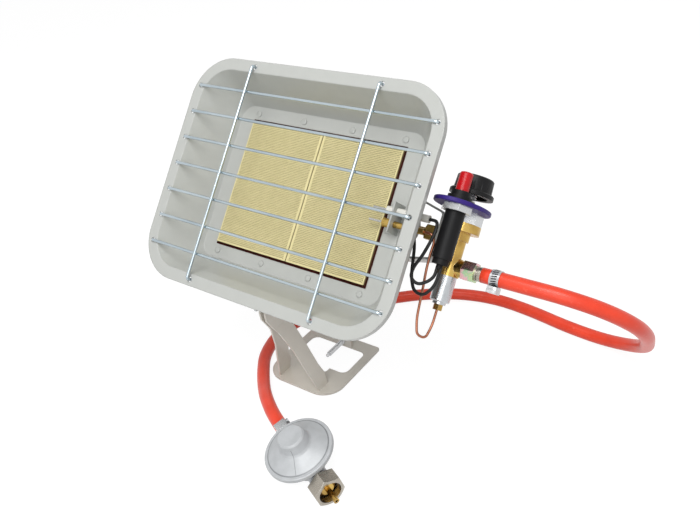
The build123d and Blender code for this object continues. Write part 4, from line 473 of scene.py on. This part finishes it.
@dataclass(frozen=True)
class ProbeBrass(TurnedMetal):
    """Turned brass whose thin probe rod is bare steel."""

    rod_end: float = 0.0685
    rod_colour: Colour = (0.55, 0.55, 0.54)

    def tint(self, graph: Graph, grain: Node, place: Socket) -> Socket:
        """Brass on the body, steel on the rod."""
        base = Finish.tint(self, graph, grain, place)
        across = graph.split(graph.surface_place())["X"]
        share = graph.math("LESS_THAN", across, self.rod_end)
        return graph.mix(share, base, rgba(self.rod_colour))


def finishes() -> dict[str, Finish]:
    """The finish of each material slot in the record, by the slot's name."""
    return {
        "reflector_paint": Finish(
            "grey_powder_coat", (0.450, 0.460, 0.438), (0.415, 0.425, 0.404), 0.34,
            grain_per_metre=1500.0, grain_depth=0.00003, mottling=0.35, edge_radius=0.0018,
            edge_highlight_gain=0.10, coat=0.15,
        ),
        # Stand colour: partly its grey paint, partly painted light, made paler to make up for the
        # head's shade on it.
        "stand_paint": Finish(
            "stand_grey_paint", (0.71, 0.675, 0.60), (0.66, 0.625, 0.555), 0.36,
            grain_per_metre=1300.0, grain_depth=0.00003, edge_radius=0.0008, coat=0.2,
        ),
        "guard_wire": Finish(
            "blue_zinc_wire", (0.53, 0.60, 0.64), (0.34, 0.41, 0.46), 0.18,
            metallic=1.0, grain_per_metre=400.0, grain_depth=0.000002, mottling=0.6,
            edge_radius=0.0002,
        ),
        "burner_ceramic": PiercedCeramic(
            "cream_burner_ceramic", (0.71, 0.63, 0.335), (0.645, 0.57, 0.29), 0.85,
            grain_per_metre=2500.0, grain_depth=0.00006, mottling=0.7, edge_radius=0.0003,
            edge_highlight_gain=0.05,
        ),
        # Seal colour: its own dark red, darkened further as painted shade for the gap it sits in.
        "seal_fibre": Finish(
            "dark_red_seal", (0.050, 0.009, 0.007), (0.022, 0.007, 0.005), 0.95,
            grain_per_metre=2200.0, grain_depth=0.0002, mottling=0.9, edge_radius=0.0004,
            edge_highlight_gain=0.0, gloss=0.1,
        ),
        "plated_steel": Finish(
            "plated_steel", (0.60, 0.61, 0.62), (0.42, 0.43, 0.44), 0.26,
            metallic=1.0, mottling=0.6, grain_depth=0.00002, edge_radius=0.0003, edge_highlight_gain=0.25,
        ),
        "spring_steel": Finish(
            "spring_steel", (0.50, 0.50, 0.52), (0.36, 0.36, 0.38), 0.28,
            metallic=1.0, edge_radius=0.0001,
        ),
        "machined_brass": TurnedMetal(
            "turned_brass", (0.62, 0.42, 0.12), (0.30, 0.17, 0.045), 0.22,
            metallic=1.0, mottling=0.9, grain_depth=0.00002, edge_radius=0.0004, edge_highlight_gain=0.25,
            axis=tuple(HEAD_UP),
        ),
        "probe_brass": ProbeBrass(
            "probe_brass", (0.62, 0.42, 0.12), (0.30, 0.17, 0.045), 0.22,
            metallic=1.0, mottling=0.9, grain_depth=0.00002, edge_radius=0.0004, edge_highlight_gain=0.25,
        ),
        "yellow_zinc": IridescentZinc(
            "iridescent_zinc", (0.62, 0.60, 0.30), (0.80, 0.45, 0.50), 0.24,
            metallic=1.0, grain_per_metre=1800.0, edge_highlight_gain=0.3,
        ),
        "capillary_copper": Finish(
            "drawn_copper", (0.40, 0.165, 0.10), (0.26, 0.10, 0.06), 0.32,
            metallic=1.0, mottling=0.8, grain_depth=0.00002, edge_radius=0.0002,
        ),
        "cap_aluminium": TurnedMetal(
            "turned_aluminium", (0.56, 0.58, 0.60), (0.38, 0.40, 0.42), 0.24,
            metallic=1.0, grain_depth=0.00002, edge_radius=0.0004, edge_highlight_gain=0.3,
            axis=tuple(HEAD_UP),
        ),
        "housing_steel": Finish(
            "aluminised_sheet", (0.50, 0.50, 0.48), (0.36, 0.36, 0.35), 0.38,
            metallic=0.9, mottling=0.9, grain_per_metre=500.0, grain_depth=0.00002,
            edge_radius=0.0010, speck=0.15,
        ),
        "dial_plastic": Finish(
            "purple_plastic", (0.036, 0.018, 0.18), (0.027, 0.013, 0.14), 0.44,
            grain_per_metre=1800.0, grain_depth=0.00002, edge_radius=0.0006, edge_highlight_gain=0.03,
            gloss=0.2,
        ),
        "knob_plastic": Finish(
            "black_knob_plastic", (0.005, 0.005, 0.0055), (0.009, 0.009, 0.0095), 0.40,
            grain_per_metre=2000.0, grain_depth=0.00002, edge_radius=0.0006, edge_highlight_gain=0.01,
            gloss=0.2,
        ),
        "piezo_plastic": Finish(
            "black_piezo_plastic", (0.006, 0.006, 0.0065), (0.013, 0.013, 0.0135), 0.45,
            grain_per_metre=1600.0, grain_depth=0.00003, edge_highlight_gain=0.01, gloss=0.15,
            stretch=(1.0, 0.2, 0.2),
        ),
        "button_plastic": Finish(
            "red_button_plastic", (0.50, 0.006, 0.010), (0.42, 0.005, 0.008), 0.25,
            grain_depth=0.00001, edge_radius=0.0007, edge_highlight_gain=0.02, gloss=0.3,
        ),
        "insulator_ceramic": Finish(
            "white_insulator", (0.72, 0.71, 0.66), (0.64, 0.63, 0.58), 0.30,
            coat=0.3, edge_radius=0.0003,
        ),
        "lead_rubber": Finish(
            "black_lead_cover", (0.012, 0.012, 0.012), (0.025, 0.025, 0.025), 0.45,
            grain_depth=0.00003, edge_radius=0.0002, edge_highlight_gain=0.02, gloss=0.2,
        ),
        "hose_rubber": MouldedRubber(
            "orange_red_rubber", (0.80, 0.060, 0.024), (0.70, 0.046, 0.017), 0.36,
            mottling=0.8, edge_highlight_gain=0.03, coat=0.08, gloss=0.35,
        ),
        "regulator_zinc": SeamedLacquer(
            "silver_grey_lacquer", (0.47, 0.485, 0.50), (0.39, 0.405, 0.415), 0.48,
            metallic=0.12, grain_per_metre=1700.0, grain_depth=0.00008, mottling=0.7,
            edge_radius=0.0012, coat=0.2,
        ),
        "nickel_steel": TurnedMetal(
            "nickel_plate", (0.44, 0.405, 0.35), (0.29, 0.265, 0.225), 0.26,
            metallic=1.0, grain_depth=0.00001, edge_highlight_gain=0.3, axis=NUT_AXIS,
        ),
        "diaphragm_rubber": Finish(
            "black_diaphragm", (0.02, 0.02, 0.02), (0.03, 0.03, 0.03), 0.6,
        ),
    }


class FinishShelf:
    """All finishes as materials, with the frame's nodes dressed in them."""

    own_finishes = {"thermocouple": "probe_brass"}

    def __init__(self) -> None:
        """Build one material for each slot."""
        effects = SharedEffects()
        self.materials = {slot: finish.build(effects) for slot, finish in finishes().items()}

    def dress(self, frame: dict[str, Any]) -> None:
        """Give each node of the frame the finish of its slot.
        """
        slots = {part["node"]: part["material_slot"] for part in frame["record"]["subparts"]}
        for name, node in frame["nodes"].items():
            material = self.materials[self.own_finishes.get(name, slots[name])]
            node.data.materials.clear()
            node.data.materials.append(material)
        LOG.info("dressed %d frame nodes", len(frame["nodes"]))

    def finish_piece(self, piece: bpy.types.Object, slot: str, body: Body) -> None:
        """Give a new piece its finish and its body.

        Args:
            piece: the new object.
            slot: the record's material slot.
            body: the body that it rides on.
        """
        piece.data.materials.clear()
        piece.data.materials.append(self.materials[slot])
        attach(piece, body.value)
        LOG.info("made %s", piece.name)


def link_mesh(name: str, mesh: bpy.types.Mesh) -> bpy.types.Object:
    """Put a mesh into the scene as an object at the origin."""
    piece = bpy.data.objects.new(name, mesh)
    bpy.context.scene.collection.objects.link(piece)
    return piece


def applied(piece: bpy.types.Object, name: str) -> bpy.types.Object:
    """Turn an object's evaluated result into a plain mesh object.

    Args:
        piece: the object with its modifier; it is removed.
        name: the new object's name.

    Returns:
        The plain mesh object.
    """
    bpy.context.view_layer.update()
    graph = bpy.context.evaluated_depsgraph_get()
    mesh = bpy.data.meshes.new_from_object(piece.evaluated_get(graph))
    bpy.data.objects.remove(piece)
    return link_mesh(name, mesh)


def fill_inputs(modifier: bpy.types.Modifier, values: dict[str, Any]) -> None:
    """Set a geometry nodes modifier's inputs by their names."""
    for item in modifier.node_group.interface.items_tree:
        if item.in_out == "INPUT" and item.name in values:
            modifier[item.identifier] = values[item.name]


def closed_skin(name: str, rings: Sequence[Sequence[Vector]], smooth: bool) -> bpy.types.Mesh:
    """Closed mesh through rings of points, with a flat face at each end.

    Args:
        name: the mesh's name.
        rings: rings with the same number of points each, in order.
        smooth: whether the faces between the rings are shaded smooth.

    Returns:
        The mesh.
    """
    work = bmesh.new()
    rows = [[work.verts.new(point) for point in ring] for ring in rings]
    for first, second in zip(rows, rows[1:]):
        for step in range(len(first)):
            after = (step + 1) % len(first)
            face = work.faces.new((first[step], first[after], second[after], second[step]))
            face.smooth = smooth
    work.faces.new(list(reversed(rows[0])))
    work.faces.new(rows[-1])
    bmesh.ops.recalc_face_normals(work, faces=work.faces)
    mesh = bpy.data.meshes.new(name)
    work.to_mesh(mesh)
    work.free()
    return mesh


def swept_tube(name: str, points: Sequence[Vector], radius: float, around: int) -> bpy.types.Mesh:
    """Closed round tube that follows a line of points.

    Args:
        name: the mesh's name.
        points: the line, close enough together to look smooth.
        radius: the tube's radius.
        around: points round its section.

    Returns:
        The mesh.
    """
    along = (points[1] - points[0]).normalized()
    side = along.orthogonal().normalized()
    angles = [math.tau * step / around for step in range(around)]
    rings = []
    for index, point in enumerate(points):
        before = points[max(index - 1, 0)]
        after = points[min(index + 1, len(points) - 1)]
        turned = (after - before).normalized()
        side = (along.rotation_difference(turned) @ side).normalized()
        along = turned
        other = along.cross(side)
        spokes = [side * math.cos(angle) + other * math.sin(angle) for angle in angles]
        rings.append([point + spoke * radius for spoke in spokes])
    return closed_skin(name, rings, smooth=True)


@dataclass
class PhotoView:
    """Camera at the photograph's viewing angle."""

    position: Point = (0.3944, -0.47414, 0.5244)
    right: Point = (0.8217737, 0.56350413, -0.08456411)
    up: Point = (-0.23855657, 0.47500603, 0.84703012)
    back: Point = (0.51747343, -0.67589375, 0.52477508)
    lens_mm: float = 37.38
    sensor_mm: float = 36.0

    def build(self) -> None:
        """Make the camera and use it."""
        data = bpy.data.cameras.new("photo_camera")
        data.lens = self.lens_mm
        data.sensor_width = self.sensor_mm
        data.sensor_fit = "HORIZONTAL"
        data.clip_start = 0.01
        camera = bpy.data.objects.new("photo_camera", data)
        turn = Matrix((self.right, self.up, self.back)).transposed().to_4x4()
        camera.matrix_world = Matrix.Translation(self.position) @ turn
        bpy.context.scene.collection.objects.link(camera)
        bpy.context.scene.camera = camera


@dataclass
class Studio:
    """Pale floor and soft light."""

    floor_size: float = 8.0
    floor_level: float = -0.0004
    floor_glow: float = 0.92
    floor_dimming: float = 0.74
    floor_tones: tuple[Colour, Colour] = ((0.58, 0.58, 0.58), (0.62, 0.62, 0.62))
    floor_mottle_scale: float = 3.0
    world_strength: float = 0.38
    key_power: float = 27.0
    key_position: Point = (0.35, -0.75, 1.8)
    fill_power: float = 9.0
    fill_position: Point = (0.5, -1.5, 0.8)
    lamp_size: float = 1.2
    aim: Point = (0.0, 0.0, 0.15)

    def build(self) -> None:
        """Make the floor, the world and the lamps."""
        self._floor()
        self._world()
        self._lamp("key", self.key_position, self.key_power)
        self._lamp("fill", self.fill_position, self.fill_power)
        bpy.context.scene.view_settings.view_transform = "Standard"

    def _floor(self) -> None:
        """Large pale floor that keeps a soft shadow."""
        mesh = bpy.data.meshes.new("floor")
        half = self.floor_size / 2
        level = self.floor_level
        corners = [(x * half, y * half, level) for x, y in ((-1, -1), (1, -1), (1, 1), (-1, 1))]
        mesh.from_pydata(corners, [], [(0, 1, 2, 3)])
        floor = link_mesh("floor", mesh)
        material = bpy.data.materials.new("pale_floor")
        material.use_nodes = True
        material.node_tree.nodes.clear()
        graph = Graph(material.node_tree)
        place = graph.surface_place()
        noise = graph.add("ShaderNodeTexNoise", {"Vector": place, "Scale": self.floor_mottle_scale})
        tone = graph.mix(noise.outputs[0], *(rgba(colour) for colour in self.floor_tones))
        seen = self._seen(graph)
        dimmed = graph.mix(graph.math("MULTIPLY", seen, self.floor_dimming), tone, BLACK)
        diffuse = graph.add("ShaderNodeBsdfDiffuse", {"Color": dimmed}).outputs["BSDF"]
        strength = graph.math("MULTIPLY", seen, self.floor_glow)
        glow = graph.add("ShaderNodeEmission", {"Color": WHITE, "Strength": strength}).outputs[0]
        surface = graph.add("ShaderNodeAddShader", {0: diffuse, 1: glow})
        graph.add("ShaderNodeOutputMaterial", {"Surface": surface.outputs["Shader"]})
        mesh.materials.append(material)

    def _world(self) -> None:
        """White surroundings, plain white where the camera sees them."""
        world = bpy.data.worlds.new("soft_white")
        bpy.context.scene.world = world
        world.use_nodes = True
        world.node_tree.nodes.clear()
        graph = Graph(world.node_tree)
        light, seen = (
            graph.add("ShaderNodeBackground", {"Color": WHITE, "Strength": strength}).outputs[0]
            for strength in (self.world_strength, 1.0)
        )
        surface = graph.add("ShaderNodeMixShader", {0: self._seen(graph), 1: light, 2: seen})
        graph.add("ShaderNodeOutputWorld", {"Surface": surface.outputs["Shader"]})

    @staticmethod
    def _seen(graph: Graph) -> Socket:
        """Mask that is 1 where the camera, a reflection or glass shows the surroundings."""
        path = graph.add("ShaderNodeLightPath").outputs
        mirrored = graph.math("MAXIMUM", path["Is Glossy Ray"], path["Is Transmission Ray"])
        return graph.math("MAXIMUM", path["Is Camera Ray"], mirrored)

    def _lamp(self, name: str, position: Point, power: float) -> None:
        """Square soft lamp that points at the heater.

        Args:
            name: the lamp's name.
            position: where it stands, in the row frame.
            power: its power in watts.
        """
        data = bpy.data.lights.new(name, "AREA")
        data.energy = power
        data.size = self.lamp_size
        lamp = bpy.data.objects.new(name, data)
        sight = Vector(self.aim) - Vector(position)
        lamp.rotation_euler = sight.to_track_quat("-Z", "Y").to_euler()
        lamp.location = position
        bpy.context.scene.collection.objects.link(lamp)


@dataclass
class GasHose:
    """Red gas hose from the valve's barb over the table to the regulator."""

    diameter: float = 0.014
    length: float = 0.960
    first_run: float = 0.036
    valve_end: Point = VALVE_BARB
    regulator_end: float = -0.028
    around: int = 28
    bend_start: float = 0.020
    bend_end: float = 0.155
    corners: tuple[Point, ...] = (
        (0.2630, 0.0620, 0.1650),
        (0.2950, 0.0755, 0.1525),
        (0.3155, 0.0970, 0.1305),
        (0.3210, 0.1250, 0.1025),
        (0.3165, 0.1570, 0.0715),
        (0.3115, 0.1860, 0.0430),
        (0.2910, 0.2090, 0.0205),
        (0.2580, 0.2230, 0.00705),
        (0.2165, 0.2270, 0.00705),
        (0.1720, 0.2365, 0.00705),
        (0.1260, 0.2410, 0.00705),
        (0.0820, 0.2320, 0.00705),
        (0.0420, 0.2110, 0.00705),
        (0.0060, 0.1800, 0.00705),
        (-0.0330, 0.1445, 0.00705),
        (-0.0635, 0.1040, 0.00705),
        (-0.0720, 0.0585, 0.00705),
        (-0.0615, 0.0210, 0.00705),
        (-0.0435, -0.0035, 0.00705),
        (-0.0260, -0.0230, 0.00705),
        (-0.0050, -0.0420, 0.0140),
    )

    def route(self) -> list[Vector]:
        """Corners of the hose's route, from the valve to the regulator."""
        x, up, out = self.valve_end
        start = [HEAD.point(x, up, out), HEAD.point(x + self.first_run, up, out)]
        last = REGULATOR.origin + FLOW * (self.regulator_end - self.first_run)
        end = REGULATOR.origin + FLOW * self.regulator_end
        return start + [STAND.point(*corner) for corner in self.corners] + [last, end]

    def centreline(self) -> list[Vector]:
        """Points of the smooth curve whose control points are the route's corners."""
        corners = self.route()
        curve = bpy.data.curves.new("gas_hose_line", "CURVE")
        curve.dimensions = "3D"
        curve.resolution_u = 12
        spline = curve.splines.new("NURBS")
        spline.points.add(len(corners) - 1)
        for slot, corner in zip(spline.points, corners):
            slot.co = (corner.x, corner.y, corner.z, 1.0)
        spline.order_u = 3
        spline.use_endpoint_u = True
        line = bpy.data.objects.new("gas_hose_line", curve)
        mesh = bpy.data.meshes.new_from_object(line)
        points = [vertex.co.copy() for vertex in mesh.vertices]
        bpy.data.objects.remove(line)
        return points

    def build(self, shelf: FinishShelf) -> None:
        points = self.centreline()
        mesh = swept_tube("gas_hose_cover", points, self.diameter / 2, self.around)
        hose = link_mesh("gas_hose_cover", mesh)
        hose.data.materials.append(shelf.materials["hose_rubber"])
        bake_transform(hose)
        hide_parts("gas_hose")
        LOG.info("made %s, %.4f m long", hose.name, self._measure(points))

    @staticmethod
    def _measure(points: Sequence[Vector]) -> float:
        """Length of a line of points."""
        return sum((second - first).length for first, second in zip(points, points[1:]))


@dataclass
class PiercedPlaque:
    """Ceramic plaque whose face is pierced with small burner holes."""

    name: str
    node: str
    side: int
    width: float = 0.092
    height: float = 0.132
    thickness: float = 0.013
    joint: float = 0.001
    face: float = 0.041
    outer_border: float = 0.0012
    joint_border: float = 0.0028
    columns: int = 66
    rows: int = 80
    hole_radius: float = 0.00050
    hole_depth: float = 0.0022
    merge_distance: float = 0.00001

    def _cell(self, pierced: bool) -> bpy.types.Object:
        """One square of the face, with or without its hole.

        Args:
            pierced: whether the square has a hole.

        Returns:
            The square as an object that isn't linked to the scene.
        """
        half_x = self.width / self.columns / 2
        half_y = self.height / self.rows / 2
        mesh = bpy.data.meshes.new("plaque_cell")
        signs = ((1, 1), (-1, 1), (-1, -1), (1, -1))
        corners = [(x * half_x, y * half_y, 0.0) for x, y in signs]
        if not pierced:
            mesh.from_pydata(corners, [], [(0, 1, 2, 3)])
            return bpy.data.objects.new("plaque_cell", mesh)
        rim = [math.radians(45 + 45 * step) for step in range(8)]
        top = [(self.hole_radius * math.cos(a), self.hole_radius * math.sin(a), 0.0) for a in rim]
        low = [(x, y, -self.hole_depth) for x, y, _ in top]
        faces = []
        for step in range(4):
            near = 4 + 2 * step
            after = 4 + (2 * step + 1) % 8
            last = 4 + (2 * step + 2) % 8
            faces.append((step, (step + 1) % 4, last, after, near))
        for step in range(8):
            faces.append((4 + step, 4 + (step + 1) % 8, 12 + (step + 1) % 8, 12 + step))
        faces.append(tuple(12 + step for step in range(8)))
        mesh.from_pydata(corners + top + low, [], faces)
        return bpy.data.objects.new("plaque_cell", mesh)

    def _tree(self, material: bpy.types.Material) -> bpy.types.NodeTree:
        """Geometry nodes that lay the squares out over the face.

        Args:
            material: the ceramic.

        Returns:
            The node tree.
        """
        tree = bpy.data.node_groups.new("pierced_face", "GeometryNodeTree")
        tree.interface.new_socket("Geometry", in_out="INPUT", socket_type="NodeSocketGeometry")
        for name in ("Width", "Height", "Outer border", "Joint border", "Joint side"):
            tree.interface.new_socket(name, in_out="INPUT", socket_type="NodeSocketFloat")
        for name in ("Columns", "Rows"):
            tree.interface.new_socket(name, in_out="INPUT", socket_type="NodeSocketInt")
        for name in ("Plain cell", "Pierced cell"):
            tree.interface.new_socket(name, in_out="INPUT", socket_type="NodeSocketObject")
        tree.interface.new_socket("Geometry", in_out="OUTPUT", socket_type="NodeSocketGeometry")
        graph = Graph(tree)
        entry = graph.add("NodeGroupInput").outputs
        pitch_x = graph.math("DIVIDE", entry["Width"], entry["Columns"])
        pitch_y = graph.math("DIVIDE", entry["Height"], entry["Rows"])
        grid = graph.add(
            "GeometryNodeMeshGrid",
            {
                "Size X": graph.math("SUBTRACT", entry["Width"], pitch_x),
                "Size Y": graph.math("SUBTRACT", entry["Height"], pitch_y),
                "Vertices X": entry["Columns"],
                "Vertices Y": entry["Rows"],
            },
        )
        place = graph.split(graph.add("GeometryNodeInputPosition").outputs[0])
        half_x = graph.math("DIVIDE", entry["Width"], 2.0)
        half_y = graph.math("DIVIDE", entry["Height"], 2.0)
        toward_joint = graph.math("MULTIPLY", place["X"], entry["Joint side"])
        joint_limit = graph.math("SUBTRACT", half_x, entry["Joint border"])
        outer_limit = graph.math("SUBTRACT", entry["Outer border"], half_x)
        end_limit = graph.math("SUBTRACT", half_y, entry["Outer border"])
        inside_joint = graph.math("LESS_THAN", toward_joint, joint_limit)
        inside_outer = graph.math("GREATER_THAN", toward_joint, outer_limit)
        inside_y = graph.math("LESS_THAN", graph.math("ABSOLUTE", place["Y"]), end_limit)
        inside_x = graph.math("MULTIPLY", inside_joint, inside_outer)
        inside = graph.math("MULTIPLY", inside_x, inside_y)
        outside = graph.math("SUBTRACT", 1.0, inside)
        layers = graph.add("GeometryNodeJoinGeometry")
        for name, chosen in (("Plain cell", outside), ("Pierced cell", inside)):
            info = graph.add("GeometryNodeObjectInfo", {"Object": entry[name], "As Instance": True})
            cell = info.outputs["Geometry"]
            spread = graph.add(
                "GeometryNodeInstanceOnPoints",
                {"Points": grid.outputs["Mesh"], "Selection": chosen, "Instance": cell},
            )
            tree.links.new(spread.outputs["Instances"], layers.inputs[0])
        solid = graph.add("GeometryNodeRealizeInstances", {0: layers.outputs[0]}).outputs[0]
        merged = {"Geometry": solid, "Distance": self.merge_distance}
        joined = graph.add("GeometryNodeMergeByDistance", merged).outputs[0]
        painted = graph.add("GeometryNodeSetMaterial", {"Geometry": joined, "Material": material})
        graph.add("NodeGroupOutput", {0: painted.outputs[0]})
        return tree

    def build(self, shelf: FinishShelf) -> None:
        """Make the plaque in the shelf's ceramic."""
        carrier = link_mesh("plaque_carrier", bpy.data.meshes.new("plaque_carrier"))
        modifier = carrier.modifiers.new("pierced", "NODES")
        modifier.node_group = self._tree(shelf.materials["burner_ceramic"])
        values = {
            "Width": self.width,
            "Height": self.height,
            "Outer border": self.outer_border,
            "Joint border": self.joint_border,
            "Joint side": float(-self.side),
            "Columns": self.columns,
            "Rows": self.rows,
            "Plain cell": self._cell(False),
            "Pierced cell": self._cell(True),
        }
        fill_inputs(modifier, values)
        plaque = applied(carrier, self.name)
        self._close(plaque.data)
        middle = self.side * (self.width + self.joint) / 2
        plaque.data.transform(HEAD.matrix() @ Matrix.Translation((middle, 0.0, -self.face)))
        shelf.finish_piece(plaque, "burner_ceramic", Body.HEAD)
        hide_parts(self.node)

    def _close(self, mesh: bpy.types.Mesh) -> None:
        """Add the plaque's sides and back to its pierced face."""
        work = bmesh.new()
        work.from_mesh(mesh)
        rim = [edge for edge in work.edges if edge.is_boundary]
        made = bmesh.ops.extrude_edge_only(work, edges=rim)["geom"]
        low = [item for item in made if isinstance(item, bmesh.types.BMVert)]
        bmesh.ops.translate(work, verts=low, vec=(0.0, 0.0, -self.thickness))
        edges = [item for item in made if isinstance(item, bmesh.types.BMEdge)]
        bmesh.ops.contextual_create(work, geom=edges)
        bmesh.ops.recalc_face_normals(work, faces=work.faces)
        work.to_mesh(mesh)
        work.free()


@dataclass
class ThreadedClampScrew:
    """Clamp screw with a cut thread, a plain tip and a knurled head."""

    thread_radius: float = 0.003
    root_radius: float = 0.00262
    pitch: float = 0.001
    tip_start: float = 0.052
    tip_end: float = 0.056
    head_start: float = 0.112
    head_length: float = 0.010
    head_radius: float = 0.0065
    tip_radius: float = 0.0020
    tip_face_radius: float = 0.0012
    chamfer: float = 0.0008
    shoulder: float = 0.0001
    knurls: int = 36
    knurl_depth: float = 0.00035
    height: float = 0.007
    side: float = 0.004
    around: int = 144
    steps_per_turn: int = 6

    def _radius(self, along: float, angle: float) -> float:
        """Radius of the screw at a distance along it and an angle round it."""
        if along < self.tip_end:
            rise = min(1.0, max(0.0, (along - self.tip_start) / self.chamfer))
            return self.tip_face_radius + (self.tip_radius - self.tip_face_radius) * rise
        if along < self.head_start:
            phase = ((along / self.pitch) - angle / math.tau) % 1.0
            wave = abs(2.0 * phase - 1.0)
            return self.root_radius + (self.thread_radius - self.root_radius) * wave
        inner = min(along - self.head_start, self.head_start + self.head_length - along)
        soft = min(1.0, max(0.0, inner / self.chamfer))
        tooth = self.knurl_depth * abs(math.sin(self.knurls * angle / 2))
        return self.head_radius - self.chamfer * (1.0 - soft) - tooth * soft

    def _stations(self) -> list[float]:
        """Distances along the screw at which it has a ring of points."""
        step_length = self.pitch / self.steps_per_turn
        steps = int((self.head_start - self.tip_end) / step_length)
        head_end = self.head_start + self.head_length
        tip = [self.tip_start, self.tip_start + self.chamfer, self.tip_end - self.shoulder]
        thread = [self.tip_end + step * step_length for step in range(steps)]
        neck = [self.head_start - self.shoulder / 2, self.head_start]
        head = [self.head_start + self.chamfer, head_end - self.chamfer, head_end]
        return tip + thread + neck + head

    def _ring(self, along: float) -> list[Vector]:
        """Points round the screw at one station."""
        points = []
        for step in range(self.around):
            angle = math.tau * step / self.around
            radius = self._radius(along, angle)
            x = self.side + radius * math.cos(angle)
            z = self.height + radius * math.sin(angle)
            points.append(STAND.point(x, along, z))
        return points

    def build(self, shelf: FinishShelf) -> None:
        """Make the screw ring by ring, in the shelf's plated steel."""
        rings = [self._ring(along) for along in self._stations()]
        mesh = closed_skin("threaded_clamp_screw", rings, smooth=False)
        screw = link_mesh("threaded_clamp_screw", mesh)
        shelf.finish_piece(screw, "plated_steel", Body.CLAMP_SCREW)
        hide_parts("clamp_screw")


@dataclass
class ClampSlotShade:
    """Punched slots of a worm-drive clamp's band, as dark inlays of painted shade round it."""

    name: str
    placing: Placing
    along: float
    body: Body
    band_radius: float = 0.00795
    count: int = 22
    slot_length: float = 0.0050
    slot_width: float = 0.0010
    slot_depth: float = 0.00012
    slot_lean: float = 0.18
    # Near-black finish: painted shade where the slots open through the band.
    slot: str = "knob_plastic"

    def _tree(self, material: bpy.types.Material) -> bpy.types.NodeTree:
        """Geometry nodes that set the painted slot shade round a circle.

        Args:
            material: the finish of the painted slot shade.

        Returns:
            The node tree.
        """
        tree = bpy.data.node_groups.new("clamp_slot_shade", "GeometryNodeTree")
        tree.interface.new_socket("Geometry", in_out="INPUT", socket_type="NodeSocketGeometry")
        tree.interface.new_socket("Count", in_out="INPUT", socket_type="NodeSocketInt")
        for name in ("Radius", "Length", "Width"):
            tree.interface.new_socket(name, in_out="INPUT", socket_type="NodeSocketFloat")
        tree.interface.new_socket("Geometry", in_out="OUTPUT", socket_type="NodeSocketGeometry")
        graph = Graph(tree)
        entry = graph.add("NodeGroupInput").outputs
        circle = graph.add(
            "GeometryNodeMeshCircle",
            {"Vertices": entry["Count"], "Radius": entry["Radius"]},
        )
        size = graph.add(
            "ShaderNodeCombineXYZ",
            {"X": self.slot_depth, "Y": entry["Width"], "Z": entry["Length"]},
        )
        bar = graph.add("GeometryNodeMeshCube", {"Size": size.outputs[0]})
        place = graph.split(graph.add("GeometryNodeInputPosition").outputs[0])
        angle = graph.math("ARCTAN2", place["Y"], place["X"])
        skew = graph.add("ShaderNodeCombineXYZ", {"X": self.slot_lean, "Y": 0.0, "Z": angle})
        spread = graph.add(
            "GeometryNodeInstanceOnPoints",
            {"Points": circle.outputs[0], "Instance": bar.outputs[0], "Rotation": skew.outputs[0]},
        )
        solid = graph.add("GeometryNodeRealizeInstances", {0: spread.outputs[0]}).outputs[0]
        painted = graph.add("GeometryNodeSetMaterial", {"Geometry": solid, "Material": material})
        graph.add("NodeGroupOutput", {0: painted.outputs[0]})
        return tree

    def build(self, shelf: FinishShelf) -> None:
        """Make the painted shade in one clamp's slots, in one of the shelf's finishes."""
        carrier = link_mesh("slot_carrier", bpy.data.meshes.new("slot_carrier"))
        modifier = carrier.modifiers.new("slots", "NODES")
        modifier.node_group = self._tree(shelf.materials[self.slot])
        values = {
            "Count": self.count,
            "Radius": self.band_radius,
            "Length": self.slot_length,
            "Width": self.slot_width,
        }
        fill_inputs(modifier, values)
        slots = applied(carrier, self.name)
        slots.data.transform(self.placing.matrix() @ Matrix.Translation((0.0, 0.0, self.along)))
        shelf.finish_piece(slots, self.slot, self.body)


def main() -> None:
    """Load the frame and build the heater's looks in order."""
    logging.basicConfig(level=logging.INFO)
    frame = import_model()
    PhotoView().build()
    Studio().build()
    shelf = FinishShelf()
    shelf.dress(frame)
    GasHose().build(shelf)
    PiercedPlaque("pierced_plaque_left", "ceramic_plaque_left", side=-1).build(shelf)
    PiercedPlaque("pierced_plaque_right", "ceramic_plaque_right", side=1).build(shelf)
    ThreadedClampScrew().build(shelf)
    valve_end = Placing(HEAD.point(*VALVE_BARB), HEAD_UP, HEAD_FRONT, RIGHT)
    ClampSlotShade("clamp_slots_valve_end", valve_end, along=0.0135, body=Body.HEAD).build(shelf)
    ClampSlotShade(
        "clamp_slots_regulator_end", REGULATOR, along=-0.0415, body=Body.STAND
    ).build(shelf)


if __name__ == "__main__":
    main()
